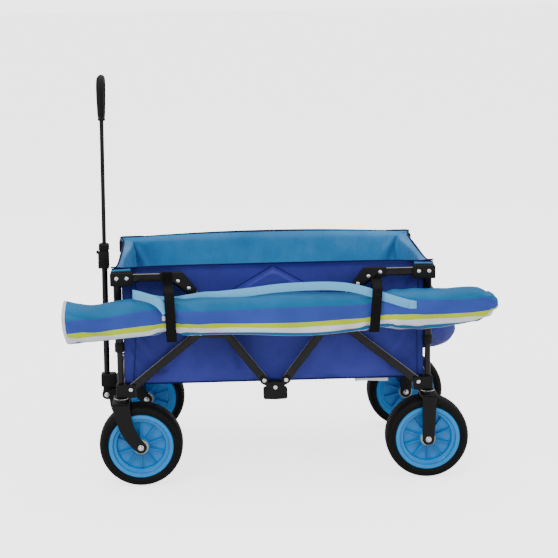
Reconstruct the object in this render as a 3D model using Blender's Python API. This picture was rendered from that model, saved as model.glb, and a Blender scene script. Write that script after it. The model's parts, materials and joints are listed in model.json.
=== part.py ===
"""Folding beach cart with a fabric tub, four wheels, a pull handle and a slung parasol bag.

Metres, +Z up. The handle is at the front, -X. The cart's left side is -Y. Shapes are drawn about
the middle of the frame. Most pieces come in fours, so each is drawn once for the rear right
corner, +X +Y, and mirrored to the others. Finally the whole cart is moved so that the origin is
on the ground under the middle of its overall box, the slung bag included.
"""

import math

import bmesh
import bpy
from mathutils import Matrix, Vector
from mathutils.geometry import convex_hull_2d

GAP = 0.0003

# Posts: an inner tube on each lower frame slides in a sleeve on each upper frame.
POST_X = 0.397
POST_Y = 0.236
POST_R = 0.0075
POST_BORE_R = 0.0055
POST_BOTTOM = 0.2335
POST_TOP = 0.545
SLEEVE_R = 0.0105
SLEEVE_BORE_R = 0.0080
SLEEVE_BOTTOM = 0.355
SLEEVE_TOP = 0.552
COLLAR_R = 0.0125
COLLAR_HEIGHT = 0.023
CROSSBAR_DEPTH = 0.012
LOWER_CROSSBAR_Z = (0.241, 0.261)
UPPER_CROSSBAR_Z = (0.500, 0.520)

# Pivots of the side linkage, in the XZ plane of the rear half.
CAP_PIVOT = (0.371, 0.549)
BRACKET_PIVOT = (0.371, 0.256)
TOP_HUB_PIVOT = (0.028, 0.531)
BOTTOM_HUB_PIVOT = (0.028, 0.274)
# The two bars cross where the ratio of their lengths keeps every hub and post upright.
CROSSING = (0.1883, 0.4025)
PIN_R = 0.0038
PIN_HOLE_R = 0.0042

# Planes of the side linkage, as distances from the middle of the cart.
LOWER_BAR_Y = (0.2395, 0.2485)
UPPER_BAR_Y = (0.2525, 0.2615)
BAR_HALF_HEIGHT = 0.0105
RIVET_R = 0.0055

# The upper bar: a level rail, a bend over two rivets, and a diagonal down to the bottom hub.
RAIL_END = (0.272, 0.549)
BEND_POINTS = ((0.242, 0.539), (0.215, 0.520))

# Wheels
WHEEL_R = 0.108
REAR_WHEEL_X = 0.394
FRONT_WHEEL_X = 0.349
DISC_R = 0.080
DISC_HALF_WIDTH = 0.032
RING_R = 0.068
WEB_HALF_WIDTH = 0.012
HUB_R = 0.022
HUB_HALF_WIDTH = 0.035
TYRE_HALF_WIDTH = 0.036
AXLE_R = 0.005
AXLE_BORE_R = 0.0056
AXLE_HEAD_R = 0.0095
LEG_OFFSETS = (0.040, 0.046)
AXLE_HEAD_OFFSETS = (0.0465, 0.0565)
CROWN_Z = (0.2185, 0.2265)
CUP_R = 0.017
CUP_TOP = 0.2325
STEM_TOP = 0.262

# Tub
TUB_HALF_X = 0.3825
TUB_HALF_Y = 0.2305
TUB_BOTTOM = 0.2705
TUB_WALL = 0.005
RIM_HALF_X = 0.413
RIM_HALF_Y = 0.248
RIM_Z = (0.5735, 0.5785)
MAT_INSET = 0.005
MAT_THICKNESS = 0.010
POCKET_HALF_Y = 0.200

# Handle: built upright over its pivot, then leaned a little towards the tub.
HANDLE_PIVOT = (-0.4475, 0.0, 0.182)
HANDLE_LEAN = math.radians(0.9)
LOWER_TUBE_R = 0.008
LOWER_TUBE_BORE_R = 0.0062
LOWER_TUBE_Z = (0.208, 0.585)
UPPER_TUBE_R = 0.0055
UPPER_TUBE_BORE_R = 0.0042
UPPER_TUBE_Z = (0.540, 0.944)
HANDLE_FOOT_HALF = 0.012
HANDLE_FOOT_TOP = 0.2375
LOCK_Z = (0.528, 0.596)
BUTTON_Z = 0.572
GRIP_R = 0.010
GRIP_TOP_Z = 1.034
GRIP_BOTTOM_Z = 0.938
GRIP_HALF_WIDTH = 0.046

# Parasol bag in its two loops, on the left side.
BAG_X = (-0.530, 0.563)
BAG_Y = (-0.365, -0.268)
BAG_Z = (0.400, 0.515)
BAG_TAPER = 0.075
LOOP_X = 0.262
LOOP_WIDTH = 0.025
LOOP_THICKNESS = 0.002
LOOP_CLEARANCE = 0.0015

# Middle of the overall box, between the bag's ends, and between the loops and the far wheel bolts.
BOX_MIDDLE_X = (BAG_X[0] + BAG_X[1]) / 2
LOOP_OUTSIDE_Y = BAG_Y[0] - LOOP_CLEARANCE - LOOP_THICKNESS
BOX_MIDDLE_Y = (LOOP_OUTSIDE_Y + POST_Y + AXLE_HEAD_OFFSETS[1]) / 2


# --- Mesh helpers ---------------------------------------------------------------------------


def clear_scene():
    for obj in list(bpy.data.objects):
        bpy.data.objects.remove(obj, do_unlink=True)


def solid(bm):
    """An object from a bmesh, its faces pointing out."""
    bmesh.ops.recalc_face_normals(bm, faces=bm.faces)
    mesh = bpy.data.meshes.new("shape")
    bm.to_mesh(mesh)
    bm.free()
    obj = bpy.data.objects.new("shape", mesh)
    bpy.context.collection.objects.link(obj)
    return obj


def box(low, high, bevel=0.0):
    low = Vector(low)
    high = Vector(high)
    bm = bmesh.new()
    bmesh.ops.create_cube(bm, size=1.0)
    size = high - low
    bmesh.ops.transform(
        bm,
        matrix=Matrix.Translation((low + high) / 2) @ Matrix.Diagonal((*size, 1.0)),
        verts=bm.verts,
    )
    if bevel:
        bmesh.ops.bevel(
            bm, geom=bm.edges[:], offset=bevel, segments=2, affect="EDGES", profile=0.5
        )
    return solid(bm)


def rod(start, end, radius, segments=12):
    start = Vector(start)
    end = Vector(end)
    axis = end - start
    turn = axis.to_track_quat("Z", "Y").to_matrix().to_4x4()
    bm = bmesh.new()
    bmesh.ops.create_cone(
        bm,
        cap_ends=True,
        segments=segments,
        radius1=radius,
        radius2=radius,
        depth=axis.length,
        matrix=Matrix.Translation((start + end) / 2) @ turn,
    )
    return solid(bm)


def across(point, span, radius, segments=12):
    """A rod along Y at a point of the XZ plane."""
    x, z = point
    return rod((x, span[0], z), (x, span[1], z), radius, segments)


def upright(x, y, span, radius, segments=12):
    return rod((x, y, span[0]), (x, y, span[1]), radius, segments)


def plate(outline, span):
    """An XZ outline drawn out along Y."""
    bm = bmesh.new()
    face = bm.faces.new([bm.verts.new((x, span[0], z)) for x, z in outline])
    made = bmesh.ops.extrude_face_region(bm, geom=[face])["geom"]
    moved = [item for item in made if isinstance(item, bmesh.types.BMVert)]
    bmesh.ops.translate(bm, verts=moved, vec=(0, span[1] - span[0], 0))
    return solid(bm)


def turned(profile, centre, segments=20):
    """A ring round Y, from a closed (radius, offset) profile, with a flat of its rim at the bottom."""
    half_step = math.pi / segments
    bm = bmesh.new()
    verts = [
        bm.verts.new((r, offset, r * math.tan(half_step))) for r, offset in profile
    ]
    edges = [bm.edges.new(pair) for pair in zip(verts, verts[1:] + verts[:1])]
    bmesh.ops.spin(
        bm,
        geom=verts + edges,
        cent=(0, 0, 0),
        axis=(0, 1, 0),
        angle=2 * math.pi,
        steps=segments,
        use_merge=True,
    )
    bmesh.ops.remove_doubles(bm, verts=bm.verts, dist=1e-6)
    bmesh.ops.translate(bm, verts=bm.verts, vec=centre)
    return solid(bm)


def arc(centre, radius, start, end, steps):
    """Points along an arc in the XZ plane, angles in degrees from +X towards +Z."""
    angles = [math.radians(start + (end - start) * i / steps) for i in range(steps + 1)]
    return [
        (centre[0] + radius * math.cos(a), centre[1] + radius * math.sin(a)) for a in angles
    ]


def hull_outline(circles, steps=12):
    """The outline of a belt pulled round circles, each given as (centre, radius)."""
    points = []
    for centre, radius in circles:
        points += arc(centre, radius, 0, 360, steps)[:-1]
    return [points[i] for i in convex_hull_2d(points)]


def strip_outline(points, half, end_steps=6):
    """The outline of a bar of even height along a line of points, with round ends."""
    path = [Vector(p) for p in points]
    upper = []
    lower = []
    for i, point in enumerate(path):
        before = (point - path[i - 1]).normalized() if i else None
        after = (path[i + 1] - point).normalized() if i + 1 < len(path) else None
        along = ((before or after) + (after or before)).normalized()
        normal = Vector((-along.y, along.x))
        bend = normal.dot(Vector((-(after or before).y, (after or before).x)))
        upper.append(point + normal * half / bend)
        lower.append(point - normal * half / bend)

    def cap(centre, first, last):
        start = math.atan2(first.y - centre.y, first.x - centre.x)
        end = math.atan2(last.y - centre.y, last.x - centre.x)
        if end > start:
            end -= 2 * math.pi
        turn = (end - start) / end_steps
        return [
            centre + Vector((math.cos(start + turn * i), math.sin(start + turn * i))) * half
            for i in range(1, end_steps)
        ]

    outline = upper + cap(path[-1], upper[-1], lower[-1])
    outline += lower[::-1] + cap(path[0], lower[0], upper[0])
    return [(p.x, p.y) for p in outline]


def bake(obj):
    """The object's mesh with its modifiers applied."""
    bpy.context.view_layer.update()
    graph = bpy.context.evaluated_depsgraph_get()
    mesh = bpy.data.meshes.new_from_object(obj.evaluated_get(graph))
    obj.modifiers.clear()
    obj.data = mesh


def combine(target, tools, operation):
    for tool in tools:
        modifier = target.modifiers.new(operation.lower(), "BOOLEAN")
        modifier.operation = operation
        modifier.object = tool
        bake(target)
        bpy.data.objects.remove(tool, do_unlink=True)
    return target


def add(target, *tools):
    return combine(target, tools, "UNION")


def cut(target, *tools):
    return combine(target, tools, "DIFFERENCE")


# --- Materials and placing ------------------------------------------------------------------


def material(name, colour, roughness, metallic=0.0):
    made = bpy.data.materials.new(name)
    made.use_nodes = True
    shader = made.node_tree.nodes["Principled BSDF"]
    shader.inputs["Base Color"].default_value = (*colour, 1.0)
    shader.inputs["Roughness"].default_value = roughness
    shader.inputs["Metallic"].default_value = metallic
    return made


def finishes():
    return {
        "frame_black": material("frame_black", (0.012, 0.011, 0.012), 0.42, 0.3),
        "plastic_black": material("plastic_black", (0.010, 0.009, 0.010), 0.5),
        "steel": material("steel", (0.55, 0.55, 0.56), 0.3, 1.0),
        "wheel_blue": material("wheel_blue", (0.07, 0.40, 0.70), 0.35),
        "tyre_rubber": material("tyre_rubber", (0.011, 0.010, 0.009), 0.75),
        "tub_fabric": material("tub_fabric", (0.035, 0.055, 0.33), 0.85),
        "mat_fabric": material("mat_fabric", (0.05, 0.28, 0.52), 0.85),
        "stripe_fabric": material("stripe_fabric", (0.10, 0.35, 0.50), 0.85),
        "webbing": material("webbing", (0.012, 0.011, 0.012), 0.8),
        "sling_webbing": material("sling_webbing", (0.22, 0.52, 0.75), 0.8),
    }


class Cart:
    """Places finished shapes as named nodes, each under the empty of its moving body."""

    def __init__(self):
        self.looks = finishes()
        self.root = bpy.data.objects.new("beach_cart", None)
        self.root.location = (-BOX_MIDDLE_X, -BOX_MIDDLE_Y, 0)
        bpy.context.collection.objects.link(self.root)
        self.empties = {}

    def body(self, name, pivot):
        empty = bpy.data.objects.new("body_" + name, None)
        empty.location = pivot
        empty.parent = self.root
        bpy.context.collection.objects.link(empty)
        self.empties[name] = empty

    def place(self, obj, name, body, finish, sx=1, sy=1):
        """Mirror the shape to its corner and hang it on its body's empty."""
        empty = self.empties[body]
        mesh = obj.data
        mesh.transform(Matrix.Diagonal((sx, sy, 1, 1)))
        if sx * sy < 0:
            mesh.flip_normals()
        mesh.transform(Matrix.Translation(-empty.location))
        mesh.materials.clear()
        mesh.materials.append(self.looks[finish])
        mesh.shade_smooth()
        mesh.set_sharp_from_angle(angle=math.radians(32))
        mesh.name = name
        obj.name = name
        obj.parent = empty
        return obj


# --- Frame ----------------------------------------------------------------------------------


def both_sides(make):
    """Two copies of a shape, at +Y and at -Y."""
    return [make(POST_Y), make(-POST_Y)]


def lower_frame():
    """Two inner posts welded to a crossbar, open at both ends for the wheel stems."""
    half = CROSSBAR_DEPTH / 2
    frame = box(
        (POST_X - half, -POST_Y, LOWER_CROSSBAR_Z[0]), (POST_X + half, POST_Y, LOWER_CROSSBAR_Z[1])
    )
    span = (POST_BOTTOM, POST_TOP)
    add(frame, *both_sides(lambda y: upright(POST_X, y, span, POST_R)))
    bore = (POST_BOTTOM - 0.01, POST_TOP + 0.01)
    return cut(frame, *both_sides(lambda y: upright(POST_X, y, bore, POST_BORE_R)))


def upper_frame():
    """Two sleeves with a collar at the foot, welded to a crossbar."""
    half = CROSSBAR_DEPTH / 2
    frame = box(
        (POST_X - half, -POST_Y, UPPER_CROSSBAR_Z[0]), (POST_X + half, POST_Y, UPPER_CROSSBAR_Z[1])
    )
    span = (SLEEVE_BOTTOM, SLEEVE_TOP)
    add(frame, *both_sides(lambda y: upright(POST_X, y, span, SLEEVE_R)))
    collar = (SLEEVE_BOTTOM - 0.002, SLEEVE_BOTTOM + COLLAR_HEIGHT)
    add(frame, *both_sides(lambda y: upright(POST_X, y, collar, COLLAR_R)))
    bore = (SLEEVE_BOTTOM - 0.01, SLEEVE_TOP + 0.01)
    return cut(frame, *both_sides(lambda y: upright(POST_X, y, bore, SLEEVE_BORE_R)))


def bracket():
    """Plastic corner bracket: it clamps the foot of the post and forks round the lower bar."""
    inner = 0.2265
    outer = 0.2555
    bottom = POST_BOTTOM + 0.001
    top = 0.2690
    slot = (LOWER_BAR_Y[0] - 0.0005, LOWER_BAR_Y[1] + 0.0005)
    slot_end = BRACKET_PIVOT[0] + BAR_HALF_HEIGHT + 0.002
    made = box((0.3585, inner, bottom), (0.4085, outer, top), bevel=0.0025)
    crossbar_half = CROSSBAR_DEPTH / 2 + GAP
    cut(
        made,
        upright(POST_X, POST_Y, (bottom - 0.01, top + 0.01), POST_R + GAP),
        box(
            (POST_X - crossbar_half, inner - 0.01, LOWER_CROSSBAR_Z[0] - GAP),
            (POST_X + crossbar_half, POST_Y, LOWER_CROSSBAR_Z[1] + GAP),
        ),
        box((0.34, slot[0], bottom - 0.01), (slot_end, slot[1], top + 0.01)),
    )
    pin = across(BRACKET_PIVOT, (slot[0] - 0.002, slot[1] + 0.002), PIN_R)
    head = across(BRACKET_PIVOT, (outer - 0.001, outer + 0.0015), RIVET_R, 8)
    return add(made, pin, head)


def cap():
    """Corner cap: a socket over the sleeve, and two cheeks that hold the end of the rail."""
    inner = 0.2225
    outer = 0.2665
    bottom = 0.5335
    top = 0.5715
    cheek_x = 0.3575
    block_x = CAP_PIVOT[0] + 0.0145
    slot = (UPPER_BAR_Y[0] - 0.001, UPPER_BAR_Y[1] + 0.001)
    made = box((cheek_x, inner, bottom), (0.4135, outer, top), bevel=0.004)
    cut(
        made,
        box((0.34, inner - 0.01, bottom - 0.01), (block_x, slot[0] - 0.005, top + 0.01)),
        box((0.34, slot[0], bottom - 0.01), (block_x, slot[1], top + 0.01)),
        upright(POST_X, POST_Y, (bottom - 0.01, SLEEVE_TOP + 0.003), SLEEVE_R + GAP),
    )
    add(made, across(CAP_PIVOT, (slot[0] - 0.002, slot[1] + 0.002), PIN_R))
    for x in (CAP_PIVOT[0], POST_X):
        add(made, across((x, CAP_PIVOT[1]), (outer - 0.001, outer + 0.0015), RIVET_R, 8))
    return made


# --- Side linkage ---------------------------------------------------------------------------


def lower_bar():
    """Straight flat tube from the corner bracket to the top hub, with the crossing rivet."""
    bar = plate(strip_outline((BRACKET_PIVOT, TOP_HUB_PIVOT), BAR_HALF_HEIGHT), LOWER_BAR_Y)
    past = (LOWER_BAR_Y[0] - 0.01, LOWER_BAR_Y[1] + 0.01)
    cut(
        bar,
        across(BRACKET_PIVOT, past, PIN_HOLE_R),
        across(TOP_HUB_PIVOT, past, PIN_HOLE_R),
    )
    gusset_face = UPPER_BAR_Y[0] + 0.004
    rivet = across(CROSSING, (LOWER_BAR_Y[0] + 0.001, gusset_face + 0.001), PIN_R)
    head = across(CROSSING, (gusset_face + 0.0006, gusset_face + 0.0030), 0.008)
    return add(bar, rivet, head)


def upper_bar_path():
    return (CAP_PIVOT, RAIL_END, *BEND_POINTS, BOTTOM_HUB_PIVOT)


def upper_bar():
    """Rail and diagonal in one bent flat tube, with the gusset that carries the crossing."""
    bar = plate(strip_outline(upper_bar_path(), BAR_HALF_HEIGHT), UPPER_BAR_Y)
    foot = Vector(BOTTOM_HUB_PIVOT)
    along = (Vector(BEND_POINTS[1]) - foot).normalized()
    near = (foot + along * 0.145).to_tuple()
    far = (foot + along * 0.255).to_tuple()
    gusset = plate(
        hull_outline(((near, 0.004), (far, 0.004), (CROSSING, 0.013))),
        (UPPER_BAR_Y[0], UPPER_BAR_Y[0] + 0.004),
    )
    add(bar, gusset)
    past = (UPPER_BAR_Y[0] - 0.01, UPPER_BAR_Y[1] + 0.01)
    return cut(
        bar,
        across(CAP_PIVOT, past, PIN_HOLE_R),
        across(BOTTOM_HUB_PIVOT, past, PIN_HOLE_R),
        across(CROSSING, past, PIN_HOLE_R),
    )


def elbow():
    """Plastic sleeve over the bend of the upper bar, with three rivets."""
    start = (0.281, RAIL_END[1])
    foot = Vector(BOTTOM_HUB_PIVOT)
    bend = Vector(BEND_POINTS[1])
    end = (bend + (foot - bend).normalized() * 0.012).to_tuple()
    path = (start, RAIL_END, *BEND_POINTS, end)
    outer = UPPER_BAR_Y[1] + 0.0022
    sleeve = plate(strip_outline(path, BAR_HALF_HEIGHT + 0.0028), (UPPER_BAR_Y[0] - 0.0022, outer))
    channel = plate(
        strip_outline(upper_bar_path(), BAR_HALF_HEIGHT + GAP),
        (UPPER_BAR_Y[0] - GAP, UPPER_BAR_Y[1] + GAP),
    )
    cut(sleeve, channel)
    for point in (RAIL_END, *BEND_POINTS):
        add(sleeve, across(point, (outer - 0.001, outer + 0.0008), RIVET_R, 8))
    return sleeve


def top_hub():
    """Two plates riveted over the top ends of the front and rear lower bars."""
    ends = ((-TOP_HUB_PIVOT[0], TOP_HUB_PIVOT[1]), TOP_HUB_PIVOT)
    outline = strip_outline(ends, 0.014)
    outer = (LOWER_BAR_Y[1] + 0.0015, LOWER_BAR_Y[1] + 0.0060)
    inner = (LOWER_BAR_Y[0] - 0.0065, LOWER_BAR_Y[0] - 0.0015)
    hub = plate(outline, outer)
    pins = [across(point, (inner[0] + 0.001, outer[0] + 0.001), PIN_R) for point in ends]
    add(hub, *pins)
    return add(hub, plate(outline, inner))


def bottom_hub():
    """Rubber-footed clevis under the middle of each side, round the ends of the upper bars."""
    x, z = BOTTOM_HUB_PIVOT
    inner = 0.2440
    slot = (UPPER_BAR_Y[0] - 0.001, UPPER_BAR_Y[1] + 0.001)
    outer = slot[1] + 0.0045
    profile = [(0.034, 0.222), (0.040, 0.232), (0.041, 0.262)]
    outline = profile + arc((x, z), 0.013, 0, 90, 4)
    outline += arc((-x, z), 0.013, 90, 180, 4) + [(-px, pz) for px, pz in profile[::-1]]
    hub = plate(outline, (inner, outer))
    cut(hub, box((-0.06, slot[0], z - BAR_HALF_HEIGHT - 0.0015), (0.06, slot[1], 0.30)))
    for pivot in ((x, z), (-x, z)):
        add(hub, across(pivot, (slot[0] - 0.002, slot[1] + 0.002), PIN_R))
        add(hub, across(pivot, (outer - 0.001, outer + 0.0015), RIVET_R, 8))
    return add(hub, across((0.0, 0.255), (outer - 0.001, outer + 0.0015), 0.004, 8))


# --- Wheels ---------------------------------------------------------------------------------


def fork(leg_outline, hub_x):
    """A crown with a bearing cup and a stem, and a leg on each side of the wheel."""
    made = box(
        (POST_X - 0.022, POST_Y - LEG_OFFSETS[1], CROWN_Z[0]),
        (POST_X + 0.022, POST_Y + LEG_OFFSETS[1], CROWN_Z[1]),
    )
    for side in (-1, 1):
        span = sorted(POST_Y + side * offset for offset in LEG_OFFSETS)
        leg = plate(leg_outline, span)
        cut(leg, across((hub_x, WHEEL_R), (span[0] - 0.01, span[1] + 0.01), AXLE_BORE_R))
        add(made, leg)
    add(made, upright(POST_X, POST_Y, (CROWN_Z[1] - 0.002, CUP_TOP), CUP_R, 16))
    return add(made, upright(POST_X, POST_Y, (CROWN_Z[1], STEM_TOP), AXLE_R))


def rear_leg_outline():
    top = CROWN_Z[1] - 0.0005
    half_top = 0.019
    half_hub = 0.0155
    outline = [(POST_X + half_top, top), (POST_X - half_top, top)]
    return outline + arc((REAR_WHEEL_X, WHEEL_R), half_hub, 180, 360, 8)


def front_leg_outline():
    """A leg that sweeps back from the crown to the trailing hub."""
    top = CROWN_Z[1] - 0.0005
    start = Vector((POST_X - 0.001, top))
    middle = Vector((POST_X - 0.004, 0.150))
    end = Vector((FRONT_WHEEL_X, WHEEL_R))
    half_top = 0.0225
    half_hub = 0.015
    steps = 6
    outer = []
    inner = []
    for i in range(steps + 1):
        t = i / steps
        point = start * (1 - t) ** 2 + middle * 2 * t * (1 - t) + end * t**2
        along = ((middle - start) * (1 - t) + (end - middle) * t).normalized()
        normal = Vector((-along.y, along.x)) if i else Vector((1, 0))
        half = half_top + (half_hub - half_top) * t
        outer.append(point + normal * half)
        inner.append(point - normal * half)
    first = outer[-1] - end
    start_angle = math.degrees(math.atan2(first.y, first.x))
    tip = arc((FRONT_WHEEL_X, WHEEL_R), half_hub, start_angle, start_angle - 180, 8)[1:-1]
    return [tuple(p) for p in outer] + tip + [tuple(p) for p in inner[::-1]]


def axle(hub_x):
    first, last = AXLE_HEAD_OFFSETS
    shaft = across((hub_x, WHEEL_R), (POST_Y - first - 0.001, POST_Y + first + 0.001), AXLE_R)
    heads = [
        across((hub_x, WHEEL_R), sorted((POST_Y + s * first, POST_Y + s * last)), AXLE_HEAD_R, 6)
        for s in (-1, 1)
    ]
    return add(shaft, *heads)


def disc(hub_x):
    """Moulded wheel centre: hub, thin web and outer ring."""
    half = [
        (AXLE_BORE_R, HUB_HALF_WIDTH),
        (HUB_R, HUB_HALF_WIDTH),
        (HUB_R, WEB_HALF_WIDTH),
        (RING_R, WEB_HALF_WIDTH),
        (RING_R, DISC_HALF_WIDTH),
        (DISC_R, DISC_HALF_WIDTH),
    ]
    profile = half + [(r, -offset) for r, offset in half[::-1]]
    return turned(profile, (hub_x, POST_Y, WHEEL_R))


def tyre(hub_x):
    inner = DISC_R + GAP
    half = [
        (inner, 0.032),
        (0.092, TYRE_HALF_WIDTH),
        (0.101, 0.0335),
        (WHEEL_R, 0.021),
    ]
    profile = half + [(r, -offset) for r, offset in half[::-1]]
    return turned(profile, (hub_x, POST_Y, WHEEL_R))


# --- Soft parts -----------------------------------------------------------------------------


def tub():
    """The fabric tub as an open box with a rim that covers the corner caps."""
    made = box((-TUB_HALF_X, -TUB_HALF_Y, TUB_BOTTOM), (TUB_HALF_X, TUB_HALF_Y, RIM_Z[1]))
    add(made, box((-RIM_HALF_X, -RIM_HALF_Y, RIM_Z[0]), (RIM_HALF_X, RIM_HALF_Y, RIM_Z[1])))
    hollow_x = TUB_HALF_X - TUB_WALL
    hollow_y = TUB_HALF_Y - TUB_WALL
    floor = TUB_BOTTOM + TUB_WALL
    return cut(made, box((-hollow_x, -hollow_y, floor), (hollow_x, hollow_y, RIM_Z[1] + 0.01)))


def base_mat():
    half_x = TUB_HALF_X - TUB_WALL - MAT_INSET
    half_y = TUB_HALF_Y - TUB_WALL - MAT_INSET
    floor = TUB_BOTTOM + TUB_WALL + GAP
    return box((-half_x, -half_y, floor), (half_x, half_y, floor + MAT_THICKNESS), bevel=0.002)


def rear_pocket():
    """The gathered pocket on the outside of the rear wall."""
    outline = [
        (0.4065, 0.286),
        (0.4425, 0.291),
        (0.488, 0.322),
        (0.500, 0.340),
        (0.494, 0.380),
        (0.452, 0.488),
        (0.4065, 0.490),
    ]
    return plate(outline, (-POCKET_HALF_Y, POCKET_HALF_Y))


def bag_section(inset):
    """The bag's rounded section in YZ, drawn in by an inset."""
    y0, y1 = BAG_Y[0] + inset, BAG_Y[1] - inset
    z0, z1 = BAG_Z[0] + inset, BAG_Z[1] - inset
    round_y = 0.030 * (1 - inset / 0.06)
    corners = []
    for cy, cz, start in (
        (y1 - round_y, z1 - round_y, 0),
        (y0 + round_y, z1 - round_y, 90),
        (y0 + round_y, z0 + round_y, 180),
        (y1 - round_y, z0 + round_y, 270),
    ):
        corners += arc((cy, cz), round_y, start, start + 90, 4)
    return corners


def parasol_bag():
    """A long bag of even section, square at the front and tapered at the rear."""
    bm = bmesh.new()
    stations = ((BAG_X[0], 0.002), (BAG_X[0] + 0.002, 0.0), (BAG_X[1] - BAG_TAPER, 0.0))
    stations += ((BAG_X[1] - BAG_TAPER / 3, 0.012), (BAG_X[1], 0.032))
    rings = []
    for x, inset in stations:
        rings.append([bm.verts.new((x, y, z)) for y, z in bag_section(inset)])
    for first, second in zip(rings, rings[1:]):
        count = len(first)
        for i in range(count):
            j = (i + 1) % count
            bm.faces.new((first[i], first[j], second[j], second[i]))
    bm.faces.new(rings[0][::-1])
    bm.faces.new(rings[-1])
    return solid(bm)


def parasol_sling():
    """Webbing carrying strap that lies along the top of the bag."""
    top = BAG_Z[1] + GAP
    return box((-0.385, -0.340, top), (0.360, -0.318, top + 0.0015))


def strap_loop():
    """A webbing loop that hangs from the rail, round the bag."""
    c = LOOP_CLEARANCE
    t = LOOP_THICKNESS
    inner = [
        (BAG_Y[1] + c, BAG_Z[0] - c),
        (BAG_Y[1] + c, 0.545),
        (BAG_Y[0] - c, BAG_Z[1] + 0.008),
        (BAG_Y[0] - c, BAG_Z[0] - c),
    ]
    outer = [
        (BAG_Y[1] + c + t, BAG_Z[0] - c - t),
        (BAG_Y[1] + c + t, 0.556),
        (BAG_Y[0] - c - t, BAG_Z[1] + 0.010),
        (BAG_Y[0] - c - t, BAG_Z[0] - c - t),
    ]
    bm = bmesh.new()
    ring = []
    for y, z in outer + inner:
        ring.append(bm.verts.new((LOOP_X - LOOP_WIDTH / 2, y, z)))
    faces = []
    for i in range(4):
        j = (i + 1) % 4
        faces.append(bm.faces.new((ring[i], ring[j], ring[4 + j], ring[4 + i])))
    made = bmesh.ops.extrude_face_region(bm, geom=faces)["geom"]
    moved = [item for item in made if isinstance(item, bmesh.types.BMVert)]
    bmesh.ops.translate(bm, verts=moved, vec=(LOOP_WIDTH, 0, 0))
    return solid(bm)


# --- Handle ---------------------------------------------------------------------------------


def lean(obj):
    pivot = Matrix.Translation(HANDLE_PIVOT)
    obj.data.transform(pivot @ Matrix.Rotation(HANDLE_LEAN, 4, "Y") @ pivot.inverted())
    return obj


def handle_mount():
    """Yoke on the front crossbar, with the pin that the handle swings on."""
    x, _, z = HANDLE_PIVOT
    plate_x = (-POST_X - 0.0135, -POST_X - CROSSBAR_DEPTH / 2 - GAP)
    made = box((plate_x[0], -0.030, z - 0.014), (plate_x[1], 0.030, 0.2625))
    outline = hull_outline((((x, z), 0.0135), ((plate_x[1] - 0.004, z), 0.0135)), steps=16)
    outline = [(min(px, plate_x[1] - 0.0005), pz) for px, pz in outline]
    for side in (-1, 1):
        span = sorted((side * (HANDLE_FOOT_HALF + 0.0006), side * (HANDLE_FOOT_HALF + 0.0056)))
        add(made, plate(outline, span))
    reach = HANDLE_FOOT_HALF + 0.0080
    return add(made, across((x, z), (-reach, reach), 0.004))


def handle_foot():
    """Ribbed plastic end of the handle, round at the bottom so that it can swing."""
    x, _, z = HANDLE_PIVOT
    half = HANDLE_FOOT_HALF
    outline = [(x + half, HANDLE_FOOT_TOP), (x - half, HANDLE_FOOT_TOP)]
    outline += arc((x, z), half, 180, 360, 8)
    made = plate(outline, (-half, half))
    for level in (0.204, 0.214, 0.224):
        rib = box((x - half - 0.0015, -half - 0.0, level), (x + half + 0.0015, half, level + 0.005))
        add(made, rib)
    cut(made, across((x, z), (-0.02, 0.02), 0.0044))
    socket = (LOWER_TUBE_Z[0] - GAP, HANDLE_FOOT_TOP + 0.01)
    return lean(cut(made, upright(x, 0.0, socket, LOWER_TUBE_R + GAP)))


def tube(span, radius, bore):
    x = HANDLE_PIVOT[0]
    made = upright(x, 0.0, span, radius)
    return lean(cut(made, upright(x, 0.0, (span[0] - 0.01, span[1] + 0.01), bore)))


def handle_lock():
    """Collar at the top of the lower tube, with a pocket for the release button."""
    x = HANDLE_PIVOT[0]
    made = box((x - 0.0175, -0.0125, LOCK_Z[0]), (x + 0.0125, 0.0125, LOCK_Z[1]), bevel=0.004)
    cut(
        made,
        upright(x, 0.0, (LOCK_Z[0] - 0.01, LOWER_TUBE_Z[1] + GAP), LOWER_TUBE_R + GAP),
        upright(x, 0.0, (LOWER_TUBE_Z[1], LOCK_Z[1] + 0.01), UPPER_TUBE_R + GAP),
        rod((x - 0.03, 0, BUTTON_Z), (x - 0.0120, 0, BUTTON_Z), 0.0056),
    )
    return lean(made)


def handle_button():
    x = HANDLE_PIVOT[0]
    return lean(rod((x - 0.0215, 0, BUTTON_Z), (x - 0.0155, 0, BUTTON_Z), 0.005))


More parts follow.
